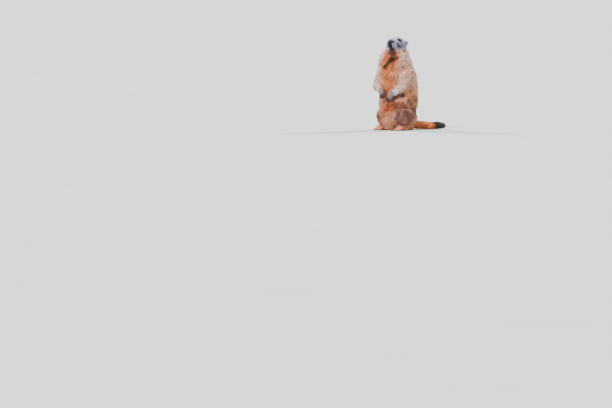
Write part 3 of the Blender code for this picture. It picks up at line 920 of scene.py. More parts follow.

# The list runs from the ground colours to the patches that lie over them; some dark patches among them are
# painted shade. After the shade come the strength, the hair's length, the grizzle, the parts, whether both
# sides carry it, how ragged it is and a streak's end.
MARKINGS = (
    Marking((0, -85, 390), (70, 80, 30), Shade.AMBER, 0.7),
    Marking((12, -98, 250), (34, 60, 110), Shade.FOX, 0.85),
    Marking((6, -90, 345), (38, 60, 50), Shade.FOX, 0.95),
    Marking((26, -76, 384), (36, 40, 30), Shade.RUST, 0.7),
    Marking((0, -95, 130), (50, 60, 50), Shade.RUST, 0.6, parts=LOW, ragged=0.45),
    Marking((0, -80, 45), (70, 60, 50), Shade.SALMON, 0.75, parts=LOW),
    Marking((96, 6, 176), (40, 60, 50), Shade.AMBER, 0.75, both=True, ragged=0.4),
    Marking((95, -25, 290), (45, 60, 62), Shade.CREAM, 0.8, parts=TRUNK, both=True),
    Marking((-80, -40, 310), (48, 70, 90), Shade.BONE, 0.8, parts=TRUNK),
    Marking((66, 0, 375), (30, 60, 46), Shade.CREAM, 0.85, both=True),
    Marking((0, 100, 200), (70, 56, 210), Shade.ASH, 0.75, grizzle=0.8, parts=LOW, ragged=0.4),
    Marking((0, 84, 350), (56, 50, 80), Shade.ASH, 0.6, grizzle=0.7, ragged=0.4),
    Marking((84, -6, 104), (48, 72, 76), Shade.UMBER, 0.62, grizzle=0.95, parts=LOW, both=True, ragged=0.5),
    Marking((56, 60, 96), (52, 50, 76), Shade.UMBER, 0.5, 1.4, 0.9, LOW, ragged=0.5),
    Marking((62, -66, 60), (26, 34, 44), Shade.PLUM, 0.65, grizzle=0.7, parts=LOW, ragged=0.5),
    Marking((84, 44, 40), (44, 50, 44), Shade.AMBER, 0.75, grizzle=0.5, parts=LOW, both=True, ragged=0.4),
    Marking((70, 20, 14), (70, 80, 16), Shade.SALMON, 0.6, parts=LOW, both=True),
    # Painted shade along the fold of the throat, from under the chin down across it towards the right side.
    Marking((-4, -96, 346), (10, 24, 11), Shade.BARK, 0.9, end=(40, -74, 382), ragged=0.35),
    Marking((30, -78, 376), (12, 24, 10), Shade.BARK, 0.8, parts=RUFF, end=(28, -72, 400), framed=False),
    Marking((73, -57, 339), (9, 14, 6), Shade.BARK, 0.75),
    # Painted shadow under the left forearm, from the paw back towards the elbow.
    Marking((34, -84, 172), (13, 22, 14), Shade.BARK, 0.9, end=(78, -54, 214), ragged=0.35),
    Marking((-4, -88, 136), (24, 28, 26), Shade.RUST, 0.9, grizzle=0.6, end=(58, -66, 146), ragged=0.5),
    Marking((68, -58, 128), (38, 40, 42), Shade.UMBER, 0.55, grizzle=0.95, parts=LOW, ragged=0.6),
    # Painted shade on the chest along the inner side of the right forearm.
    Marking((-8, -92, 216), (8, 20, 10), Shade.BARK, 0.6, end=(-6, -92, 178), ragged=0.3),
    Marking((6, 62, 40), (40, 30, 40), Shade.FOX, 0.7, grizzle=0.3, parts=("torso", "tail")),
    Marking((124, 192, 20), (62, 62, 60), Shade.SOOT, 0.98, grizzle=0.1, parts=("tail",)),
    Marking((148, 212, 20), (22, 22, 30), Shade.SOOT, 0.98, 0.8, 0.1, ("tail",)),
    Marking((36, -99, 184), (16, 18, 18), Shade.PEARL, 0.8, parts=("forearm",), end=(44, -92, 192)),
    Marking((-25, -99, 203), (16, 18, 20), Shade.PEARL, 0.8, parts=("forearm",), end=(-30, -96, 206)),
    Marking((-44, 0, 0), (30, 60, 60), Shade.LILAC, 0.6, 1.7, 0.55, RUFF),
    # Pale sides of the neck under the jaw: partly the coat's pale colour, partly painted rim light along
    # the neck's edges.
    Marking((66, 4, 398), (20, 38, 36), Shade.BONE, 0.75, 1.0, 0.3, RUFF, framed=False, ragged=0.35),
    Marking((-36, -60, 392), (22, 26, 32), Shade.BONE, 0.75, 1.0, 0.3, RUFF, framed=False, ragged=0.35),
    Marking((12, 38, -7), (34, 20, 24), Shade.LILAC, 0.85, 1.1, 0.5, HEADS, True, 0.5),
    Marking((40, 27, -4), (6, 14, 6), Shade.SLATE, 0.9, 0.8, 0.4, HEADS, True, 0.3, (37, 28, -19)),
    Marking((22, 35, 8), (5, 14, 6), Shade.SLATE, 0.9, 0.9, 0.4, HEADS, True, 0.3, (19, 37, -12)),
    Marking((10, 39, -6), (5, 14, 6), Shade.SLATE, 0.85, 1.1, 0.4, HEADS, True, 0.3, (7, 40, -28)),
    Marking((-1, 40, 20), (4, 14, 5), Shade.SLATE, 0.75, 1.0, 0.4, HEADS, True, 0.3, (-3, 42, 4)),
    Marking((-14, 42, 0), (4, 14, 5), Shade.SLATE, 0.65, 1.2, 0.4, HEADS, True, 0.3, (-15, 43, -18)),
    Marking((30, 34, -20), (10, 12, 12), Shade.SLATE, 0.55, 0.8, 0.5, HEADS, True, 0.5),
    Marking((56, 0, 14), (16, 20, 12), Shade.SILVER, 0.9, 0.5, 0.2, HEADS),
    Marking((60, 18, -8), (12, 9, 14), Shade.PEARL, 0.6, 0.4, 0.1, HEADS, True),
    # Painted shade along the mouth, from under the nose down to the chin.
    Marking((67, 0, -18), (12, 13, 17), Shade.INK, 0.97, 0.35, 0.05, HEADS),
    Marking((56, 0, -36), (14, 15, 12), Shade.INK, 0.9, 0.5, 0.1, HEADS),
    Marking((62, 0, -39), (5, 5, 4), Shade.PEARL, 0.6, 0.5, 0.1, HEADS),
    # Painted shadow under the chin, where the throat starts.
    Marking((38, 6, -44), (26, 20, 14), Shade.BARK, 0.9, 1.0, 0.2, RUFF),
    Marking((-27, 41, 12), (13, 10, 14), Shade.LILAC, 0.9, 0.4, 0.2, HEADS, True, 0.1),
    Marking((29, 30, 16), (16, 14, 12), Shade.INK, 0.97, 0.42, 0.0, HEADS, True, 0.1),
    # Dark round the nose pad: partly dark hair, partly painted shade.
    Marking((64, 0, -3), (10, 17, 11), Shade.INK, 1.0, 0.4, 0.0, HEADS, False, 0.05),
)


def mouth_line(steps: int = 10) -> np.ndarray:
    """Gives places along the mouth of both sides, in metres and one a row."""
    rows = smooth_through(HEAD.mouth, steps)
    return np.array([tuple(HEAD.at(row, side)) for side in (1, -1) for row in rows])


@dataclass
class Lie:
    """What the coat does at each of many places: its way, size, and colours."""

    way: np.ndarray
    hair: np.ndarray
    lift: np.ndarray
    width: np.ndarray
    colour: np.ndarray
    grizzle: np.ndarray
    limb: np.ndarray
    along: np.ndarray


@dataclass
class Coat:
    """Knows how the coat lies and how it is marked, anywhere on the body."""

    softness: float = 7.0
    # The height under the head's middle where the head's coat ends, its slope towards the back of the head,
    # and how soft that edge is.
    jaw_line: float = 50.0
    jaw_slope: float = 0.06
    jaw_edge: float = 7.5
    # How far from the middle of the mouth places are measured, and what stands for all further ones.
    mouth_room: float = 50.0
    far: float = 99.0
    # How far the painted shade along the mouth line reaches, and how much shorter the hair is there.
    mouth_line_reach: float = 3.4
    lip_trim: float = 0.4
    limbs: tuple[Limb, ...] = field(default_factory=stretches)
    mouth: np.ndarray = field(default_factory=mouth_line)

    def index_of(self, name: str) -> int:
        """Gives a limb's place in the list."""
        return [limb.name for limb in self.limbs].index(name)

    def share_of_head(self, points: np.ndarray) -> np.ndarray:
        """Works out how much each place belongs to the head and not to the neck.

        Args:
            points: Places in metres, one a row.

        Returns:
            A number from 0 to 1 for each place.
        """
        local = HEAD.local(points)
        edge = local[:, 2] + self.jaw_line - self.jaw_slope * local[:, 1] + 3 * ripple(points, 9, 5.0)
        return 1 / (1 + np.exp(-np.clip(edge / self.jaw_edge, -30, 30)))

    def from_mouth(self, points: np.ndarray) -> np.ndarray:
        """Measures how far places lie from the mouth line.

        Args:
            points: Places in metres, one a row.

        Returns:
            Each place's distance in millimetres.
        """
        away = np.full(len(points), self.far)
        near = np.where(np.linalg.norm(points - self.mouth.mean(0), axis=1) < self.mouth_room * MM)[0]
        away[near] = np.linalg.norm(points[near][:, None] - self.mouth[None], axis=2).min(1) / MM
        return away

    def lie(self, points: np.ndarray) -> Lie:
        """Works out the coat at each place.

        Args:
            points: Places on the skin in metres, one a row.

        Returns:
            The lie of the coat and its markings there.
        """
        weights, ways, alongs = [], [], []
        for limb in self.limbs:
            away, way, along = limb.measure(points)
            weights.append(np.exp(-np.maximum(away + limb.lift * 0.5, 0) / self.softness))
            ways.append(way)
            alongs.append(along)
        weight = np.array(weights) ** 1.5
        head = self.share_of_head(points)
        weight[self.index_of("head")] *= head
        weight[self.index_of("torso")] *= 1 - head
        weight += 1e-12
        weight /= weight.sum(0)
        mixed = {
            name: sum(w * getattr(limb, name) for w, limb in zip(weight, self.limbs))
            for name in ("hair", "lift", "width", "grizzle")
        }
        colour = sum(w[:, None] * limb.shade.light() for w, limb in zip(weight, self.limbs))
        way = sum(w[:, None] * v for w, v in zip(weight, ways))
        nearest = weight.argmax(0)
        along = np.choose(nearest, alongs)
        for marking in MARKINGS:
            kinds = zip(weight, (limb.name.split("_")[0] for limb in self.limbs))
            cover = marking.cover(points) * sum(share for share, kind in kinds if kind in marking.parts)
            colour += (marking.shade.light() - colour) * cover[:, None]
            mixed["hair"] *= 1 + (marking.hair - 1) * cover
            mixed["lift"] *= 1 + (math.sqrt(marking.hair) - 1) * cover
            if marking.grizzle is not None:
                mixed["grizzle"] += (marking.grizzle - mixed["grizzle"]) * cover
        # Painted shade along the mouth line, where the hair is also cut shorter.
        lips = np.exp(-((self.from_mouth(points) / self.mouth_line_reach) ** 2))
        colour += (Shade.INK.light() - colour) * lips[:, None]
        mixed["hair"] *= 1 - self.lip_trim * lips
        return Lie(
            way=unit(way),
            hair=mixed["hair"],
            lift=mixed["lift"],
            width=mixed["width"],
            colour=colour,
            grizzle=mixed["grizzle"],
            limb=nearest,
            along=along,
        )


# Shader tools.


class Number:
    """A number in a shader, which takes part in sums as a Python number does."""

    def __init__(self, shader: "Shader", socket: bpy.types.NodeSocket) -> None:
        """Wraps an output socket of a shader's node."""
        self.shader = shader
        self.socket = socket

    def _with(self, operation: str, first: object, second: object) -> "Number":
        """Adds one Math node and wraps what it gives."""
        node = self.shader.node("ShaderNodeMath", {"operation": operation}, {0: first, 1: second})
        return Number(self.shader, node.outputs[0])

    def __add__(self, other: object) -> "Number":
        """Adds."""
        return self._with("ADD", self, other)

    def __radd__(self, other: object) -> "Number":
        """Adds to a plain number."""
        return self._with("ADD", other, self)

    def __mul__(self, other: object) -> "Number":
        """Multiplies."""
        return self._with("MULTIPLY", self, other)

    def __rmul__(self, other: object) -> "Number":
        """Multiplies a plain number."""
        return self._with("MULTIPLY", other, self)


class Shader:
    """A material whose nodes are added one call at a time."""

    def __init__(self, name: str, **values: object) -> None:
        """Starts a material.

        Args:
            name: The material's name.
            values: Values of the main shader's sockets, named in lower case with underscores.
        """
        self.material = bpy.data.materials.new(name)
        self.material.use_nodes = True
        self.tree = self.material.node_tree
        self.surface = self.tree.nodes["Principled BSDF"]
        self.set(**values)

    def node(self, kind: str, settings: dict | None = None, inputs: dict | None = None) -> bpy.types.Node:
        """Adds a node.

        Args:
            kind: The node's type.
            settings: Its properties, set first.
            inputs: A value or a link for each input named or numbered.

        Returns:
            The node.
        """
        node = self.tree.nodes.new(kind)
        for key, value in (settings or {}).items():
            if key == "stops":
                self._stops(node.color_ramp, value)
            else:
                setattr(node, key, value)
        for key, value in (inputs or {}).items():
            self.feed(node.inputs[key], value)
        return node

    @staticmethod
    def _stops(ramp: bpy.types.ColorRamp, stops: tuple[tuple[float, Row], ...]) -> None:
        """Sets a ramp's stops.

        Args:
            ramp: The ramp.
            stops: Each stop's place and colour.
        """
        while len(ramp.elements) < len(stops):
            ramp.elements.new(1.0)
        for element, (place, colour) in zip(ramp.elements, stops):
            element.position = place
            element.color = (*colour, 1)

    def feed(self, socket: bpy.types.NodeSocket, value: object) -> None:
        """Links a socket to another, or sets its value.

        Args:
            socket: The socket.
            value: What it is linked or set to. A colour is red, green and blue.
        """
        if isinstance(value, Number):
            value = value.socket
        if isinstance(value, bpy.types.NodeSocket):
            self.tree.links.new(value, socket)
        elif socket.type == "RGBA":
            socket.default_value = (*value, 1)
        else:
            socket.default_value = value

    def set(self, **values: object) -> None:
        """Feeds the main shader's sockets, named in lower case with underscores."""
        for key, value in values.items():
            self.feed(self.surface.inputs[key.replace("_", " ").title().replace("Ior", "IOR")], value)

    def places(self) -> bpy.types.NodeSocket:
        """Gives the place on the piece in its own coordinates."""
        return self.node("ShaderNodeTexCoord").outputs["Object"]

    def noise(self, scale: float, detail: float = 3.0, stretch: Row = (1, 1, 1)) -> Number:
        """Adds soft noise over the piece.

        Args:
            scale: How many patches a metre holds.
            detail: How many finer layers it has.
            stretch: How much closer the patches are along each axis.

        Returns:
            The noise, from 0 to 1.
        """
        mapped = self.node("ShaderNodeMapping", inputs={"Vector": self.places(), "Scale": stretch})
        inputs = {"Vector": mapped.outputs[0], "Scale": scale, "Detail": detail}
        return Number(self, self.node("ShaderNodeTexNoise", inputs=inputs).outputs["Fac"])

    def attribute(self, name: str) -> bpy.types.NodeSocket:
        """Gives the colour that the mesh carries under a name."""
        return self.node("ShaderNodeAttribute", {"attribute_name": name}).outputs["Color"]

    def level(self, name: str) -> Number:
        """Gives the grey that the mesh carries under a name as a number."""
        node = self.node("ShaderNodeSeparateColor", inputs={0: self.attribute(name)})
        return Number(self, node.outputs[0])

    def mixed(
        self, factor: object, first: object, second: object, blend: str = "MIX"
    ) -> bpy.types.NodeSocket:
        """Mixes two colours.

        Args:
            factor: The share of the second one.
            first: A colour or a link.
            second: A colour or a link.
            blend: The way they mix.

        Returns:
            The mixed colour.
        """
        settings = {"data_type": "RGBA", "blend_type": blend}
        node = self.node("ShaderNodeMix", settings, {0: factor, 6: first, 7: second})
        return node.outputs[2]

    def toned(self, tone: Number) -> bpy.types.NodeSocket:
        """Gives the coat's own colour, made lighter or darker by a number."""
        grey = self.node("ShaderNodeCombineColor", inputs={0: tone, 1: tone, 2: tone}).outputs[0]
        return self.mixed(1.0, self.attribute(HUE), grey, "MULTIPLY")

    def bump(self, height: Number, strength: float, distance: float) -> None:
        """Raises the surface by a height, in metres at most."""
        inputs = {"Height": height, "Strength": strength, "Distance": distance}
        self.set(normal=self.node("ShaderNodeBump", inputs=inputs).outputs[0])


@dataclass(frozen=True)
class FurFinish:
    """Dull hair that carries its own colour, a little streaked."""

    streak: float = 0.34
    # How many streaks and patches a metre holds.
    streaks: float = 900
    patches: float = 60

    def material(self) -> bpy.types.Material:
        """Builds the material.

        Returns:
            The material.
        """
        shader = Shader("fur", sheen_weight=0.08, sheen_roughness=0.5, specular_ior_level=0.2)
        streaks = shader.noise(self.streaks, 2.0, (1, 1, 0.25))
        patches = shader.noise(self.patches, 2.0)
        tone = streaks * self.streak + patches * self.streak + (1 - self.streak)
        shader.set(base_color=shader.toned(tone), roughness=0.5 + streaks * 0.3)
        return shader.material


@dataclass(frozen=True)
class SkinFinish:
    """Skin under short hair that lies flat, with the coat's own markings."""

    # How many hairs lie side by side on a metre, and how deep the relief is in metres.
    hairs: float = 700
    depth: float = 0.0009

    def material(self) -> bpy.types.Material:
        """Builds the material.

        Returns:
            The material.
        """
        shader = Shader("skin_fur", specular_ior_level=0.2)
        hairs = shader.noise(self.hairs, 4.0, (1, 1, 0.4))
        fine = shader.noise(self.hairs * 3, 2.0)
        shader.set(base_color=shader.toned(hairs * 0.5 + 0.72), roughness=0.65 + fine * 0.25)
        shader.bump(hairs + fine * 0.4, 0.6, self.depth)
        return shader.material


@dataclass(frozen=True)
class NoseFinish:
    """Damp black skin with fine cobbles."""

    # How many cobbles a metre holds, and how deep they are in metres.
    cobbles: float = 1100
    depth: float = 0.0003
    dark: Row = (0.006, 0.005, 0.007)
    pale: Row = (0.022, 0.017, 0.022)

    def material(self) -> bpy.types.Material:
        """Builds the material.

        Returns:
            The material.
        """
        shader = Shader("nose_leather", coat_roughness=0.3, specular_ior_level=0.2)
        inputs = {"Vector": shader.places(), "Scale": self.cobbles}
        cobble = shader.node("ShaderNodeTexVoronoi", {"feature": "F1"}, inputs)
        bumps = Number(shader, cobble.outputs["Distance"])
        tone = shader.noise(300)
        colour = shader.mixed(tone, self.dark, self.pale)
        shader.set(base_color=colour, roughness=0.36 + bumps * 0.35, coat_weight=0.02 + tone * 0.06)
        shader.bump(bumps, 0.35, self.depth)
        return shader.material


@dataclass(frozen=True)
class EyeFinish:
    """A dark wet eye: a black pupil in a deep brown iris."""

    # The colours from the pupil to the eye's rim, each with its place on the way.
    stops: tuple[tuple[float, Row], ...] = (
        (0.0, (0.002, 0.0015, 0.001)),
        (0.4, (0.003, 0.002, 0.0015)),
        (0.52, (0.012, 0.006, 0.003)),
        (0.8, (0.008, 0.004, 0.003)),
        (0.92, (0.004, 0.003, 0.003)),
    )
    fibre: Row = (0.006, 0.004, 0.003)
    fibres: float = 1500

    def material(self) -> bpy.types.Material:
        """Builds the material.

        Returns:
            The material.
        """
        gloss = {"roughness": 0.08, "coat_roughness": 0.02, "coat_weight": 0.08, "specular_ior_level": 0.08}
        shader = Shader("eye_wet", **gloss)
        fibres = shader.noise(self.fibres, 2.0)
        ramp = shader.node("ShaderNodeValToRGB", {"stops": self.stops}, {0: shader.level("gaze")})
        shader.set(base_color=shader.mixed(0.5 * fibres, ramp.outputs[0], self.fibre))
        return shader.material


@dataclass(frozen=True)
class ClawFinish:
    """Dark horn, paler and more worn towards the points."""

    root: Row = (0.018, 0.014, 0.013)
    point: Row = (0.16, 0.12, 0.09)
    grain: Row = (0.05, 0.04, 0.035)
    grains: float = 1300
    depth: float = 0.0002

    def material(self) -> bpy.types.Material:
        """Builds the material.

        Returns:
            The material.
        """
        shader = Shader("claw_horn", specular_ior_level=0.5)
        grain = shader.noise(self.grains, 3.0, (1, 1, 0.2))
        colour = shader.mixed(shader.level("wear"), self.root, self.point)
        shader.set(base_color=shader.mixed(grain * 0.4, colour, self.grain), roughness=0.32 + grain * 0.25)
        shader.bump(grain, 0.3, self.depth)
        return shader.material


@dataclass(frozen=True)
class WhiskerFinish:
    """Stiff dark bristle."""

    dark: Row = (0.02, 0.016, 0.016)
    pale: Row = (0.10, 0.08, 0.075)

    def material(self) -> bpy.types.Material:
        """Builds the material.

        Returns:
            The material.
        """
        shader = Shader("whisker", specular_ior_level=0.5)
        tone = shader.noise(200)
        shader.set(base_color=shader.mixed(tone, self.dark, self.pale), roughness=0.35 + tone * 0.1)
        return shader.material


@dataclass(frozen=True)
class StudioFinish:
    """The pale matt floor."""

    dark: Row = (0.37, 0.37, 0.366)
    pale: Row = (0.41, 0.41, 0.406)

    def material(self) -> bpy.types.Material:
        """Builds the material.

        Returns:
            The material.
        """
        shader = Shader("studio_floor", roughness=0.9, specular_ior_level=0.2)
        shader.set(base_color=shader.mixed(shader.noise(2.0, 2.0), self.dark, self.pale))
        return shader.material


# The pieces.


@dataclass
class Skin:
    """The one skin of the whole animal, with its lids, lips, ears, fingers and toes."""

    coat: Coat
    # The size of the faces of the trunk, the face and the paws, and how often each is smoothed.
    body_voxel: float = 3.6
    head_voxel: float = 1.25
    paw_voxel: float = 1.25
    body_smoothing: int = 18
    head_smoothing: int = 5
    paw_smoothing: int = 3
    # How far trunk and face run past the cut between them, and where the neck under the face starts and how
    # far it stands out of the trunk.
    overlap: float = 3.0
    neck_start: float = 330.0
    neck_rise: float = 0.4
    socket_gap: float = 0.15
    # How much darker the skin is under long hair, and its least height over the floor.
    undercoat: float = 0.5
    floor_gap: float = 0.3

    def trunk(self) -> bpy.types.Object:
        """Presses the torso, limbs and tail.

        Returns:
            Their skin, up to the cut at the neck.
        """
        clay = Clay()
        clay.loft(BUILD.torso_rings(BUILD.torso_depth), 40)
        clay.tube(BUILD.tail_bone, BUILD.tail_flesh)
        for index, (_, side) in enumerate(SIDES):
            shoulder, elbow, wrist = (
                mirrored(place, side) for place in (BUILD.shoulder, BUILD.elbow, BUILD.wrists[index])
            )
            upper = tuple((a + b) / 2 for a, b in zip(shoulder, elbow))
            lower = tuple((a + b) / 2 for a, b in zip(elbow, wrist))
            clay.tube((shoulder, upper, elbow), tuple(r - BUILD.arm_depth for r in BUILD.arm_radii))
            radii = tuple(r - d for r, d in zip(BUILD.forearm_radii, BUILD.forearm_depths))
            clay.tube((elbow, lower, wrist), radii)
            thigh = tuple(r - BUILD.thigh_depth[index] for r in BUILD.thigh_radii)
            for place, radii in (
                (BUILD.thigh_centre, thigh),
                (BUILD.hip, BUILD.hip_radii),
                (BUILD.breast, BUILD.breast_radii),
            ):
                clay.ball(mm(mirrored(place, side)), mm(radii))
        made = clay.pressed("trunk", self.body_voxel, self.body_smoothing)
        point, way = mm(HEAD.cut[0]), Vector(HEAD.cut[1])
        kept_beyond(made, point + way * self.overlap * MM, -way)
        return made

    def face(self) -> bpy.types.Object:
        """Presses the head and the top of the neck, and cuts the ears' cups, the eye sockets and the mouth.

        Returns:
            The skin of the head.
        """
        clay = Clay()
        clay.loft(BUILD.torso_rings(BUILD.torso_depth - self.neck_rise, self.neck_start), 40)
        turn = HEAD.turn().to_3x3()
        rings = []
        for u, width, top, low, depth in smooth_through(HEAD.rings, 4):
            half = (top - low) / 2
            middle = HEAD.at((u, 0, (top + low) / 2))
            rings.append((middle, turn @ mm((width - depth, 0, 0)), turn @ mm((0, 0, half - depth))))
        clay.loft(rings, 36, HEAD.squareness)
        HEAD.swell(clay, HEAD.chin)
        for name, side in SIDES:
            for form in (HEAD.cheek, HEAD.pad, HEAD.brow):
                HEAD.swell(clay, form, side)
            self.lids(clay, *self.eye(name, side))
            clay.ball(HEAD.at(HEAD.ear, side), mm(HEAD.ear_radii), self.ear_turn(side))
        made = clay.pressed("face", self.head_voxel, self.head_smoothing)
        point, way = mm(HEAD.cut[0]), Vector(HEAD.cut[1])
        kept_beyond(made, point - way * self.overlap * MM, way)
        for name, side in SIDES:
            ear_turn = self.ear_turn(side)
            cup = Clay()
            middle = HEAD.at(HEAD.ear, side) + ear_turn.to_3x3() @ mm(HEAD.ear_cup_place)
            cup.ball(middle, mm(HEAD.ear_cup), ear_turn)
            cut_with(made, cup.object("cup"))
            middle, radius, _ = self.eye(name, side)
            socket = Clay()
            socket.ball(middle, evenly(radius + self.socket_gap * MM), sides=32)
            cut_with(made, socket.object("socket"))
        self.carve(made)
        return made

    @staticmethod
    def eye(name: str, side: int) -> tuple[Vector, float, Vector]:
        """Finds an eye from its solid.

        Args:
            name: The side's name.
            side: The side as 1 or -1.

        Returns:
            The eye's middle and radius in metres, and the way it looks.
        """
        low, high = (Vector(corner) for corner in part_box("eye_" + name))
        return (low + high) / 2, (high.z - low.z) / 2, HEAD.way(HEAD.gaze, side)

    @staticmethod
    def ear_turn(side: int) -> Matrix:
        """Gives the turn of an ear, whose cup opens forward and out."""
        out, back = (math.radians(turn * side) for turn in HEAD.ear_turns)
        return HEAD.turn() @ Matrix.Rotation(out, 4, "Z") @ Matrix.Rotation(back, 4, "Y")

    @staticmethod
    def lids(clay: Clay, middle: Vector, radius: float, outward: Vector) -> None:
        """Adds the two lids as a soft almond round the eye.

        Args:
            clay: The head's clay.
            middle: The eye's middle in metres.
            radius: Its radius in metres.
            outward: The way it looks.
        """
        up = (Vector((0, 0, 1)) - outward * outward.z).normalized()
        along = up.cross(outward).normalized()
        width, height = HEAD.almond
        wide, deep = HEAD.wrap
        upper, lower = HEAD.lid_shares
        for i in range(HEAD.lid_beads):
            turn = 2 * math.pi * i / HEAD.lid_beads
            out = along * math.cos(turn) * width + up * math.sin(turn) * height
            reach = math.sqrt(max(1 - (wide * out.length) ** 2, 0.05))
            core = middle + (out * wide + outward * reach * deep) * radius
            thick = HEAD.lid * (upper if math.sin(turn) > 0 else lower)
            clay.ball(core, evenly(thick * MM), sides=10)

    @staticmethod
    def carve(made: bpy.types.Object) -> None:
        """Sinks the mouth line into the muzzle and swells the lips beside it.

        Args:
            made: The skin of the head.
        """
        tree = nearest_on(made.data)
        rows = smooth_through(HEAD.mouth, 14)
        found = [tree.find_nearest(HEAD.at(row, side))[0] for side in (1, -1) for row in rows]
        line = np.array([tuple(place) for place in found])
        places, ways = values_of(made.data, "co"), values_of(made.data, "normal")
        near = np.where(np.linalg.norm(places - line.mean(0), axis=1) < 60 * MM)[0]
        away = np.linalg.norm(places[near][:, None] - line[None], axis=2).min(1) / MM
        groove = -HEAD.mouth_depth * np.exp(-((away / HEAD.mouth_width) ** 2))
        lip = HEAD.lip_swell * np.exp(-(((away - HEAD.lip_place) / HEAD.lip_width) ** 2))
        places[near] += ways[near] * ((groove + lip) * MM)[:, None]
        move_points(made.data, places)

    def paws(self) -> bpy.types.Object:
        """Presses the hands and feet.

        Returns:
            The skin of all four.
        """
        clay = Clay()
        for index, (_, side) in enumerate(SIDES):
            digits = fore_digits(index, side)
            wrist = mm(mirrored(BUILD.wrists[index], side))
            turn = Matrix((digits.across, digits.down, digits.along)).transposed().to_4x4()
            for along, radii in (BUILD.palm, BUILD.cuff):
                clay.ball(wrist + digits.along * along * MM, mm(radii), turn)
            digits.shape(clay)
            heel, instep, ball, shin = (
                mirrored(place, side) for place in (BUILD.heel, BUILD.instep, BUILD.ball, BUILD.shin)
            )
            depth = BUILD.foot_depth
            clay.tube((heel, instep, ball), tuple(r - depth for r in BUILD.foot_radii[1:]), 0.85)
            clay.tube((shin, heel), tuple(r - depth for r in BUILD.foot_radii[:2]))
            hind_digits(side).shape(clay)
        return clay.pressed("paws", self.paw_voxel, self.paw_smoothing)

    def build(self, material: bpy.types.Material) -> bpy.types.Object:
        """Makes the whole skin and its markings.

        Args:
            material: The finish it wears.

        Returns:
            The skin's object.
        """
        made = joined("skin", [self.trunk(), self.face(), self.paws()])
        in_order(made)
        places = values_of(made.data, "co")
        places[:, 2] = np.maximum(places[:, 2], self.floor_gap * MM)
        move_points(made.data, places)
        lie = self.coat.lie(places)
        long = np.clip((lie.hair - 4) / 10, 0, 1)[:, None]
        coloured(made.data, HUE, lie.colour * (1 - long * self.undercoat))
        dressed(made, material)
        flesh = [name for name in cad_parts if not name.startswith(("eye", "nose"))]
        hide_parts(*flesh)
        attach(made, BODY)
        LOG.info("skin: %d triangles", sum(len(p.vertices) - 2 for p in made.data.polygons))
        return made


@dataclass
class Strands:
    """Where many tufts run, how the coat lies at each, and their colours at root, middle and tip."""

    roots: np.ndarray
    middles: np.ndarray
    tips: np.ndarray
    out: np.ndarray
    side: np.ndarray
    lie: Lie
    tint: tuple[np.ndarray, np.ndarray, np.ndarray]


# A tuft's three root points, three middle points and its tip, joined by triangles, and where each of the
# seven lies in the tuft's patch of the bake map.
TUFT_FACES = (
    (0, 1, 4),
    (0, 4, 3),
    (1, 2, 5),
    (1, 5, 4),
    (2, 0, 3),
    (2, 3, 5),
    (3, 4, 6),
    (4, 5, 6),
    (5, 3, 6),
    (0, 2, 1),
)
TUFT_PATCH = ((-1, -1), (1, -1), (0, -1), (-1, 0.2), (1, 0.2), (0, 0.2), (0, 1))


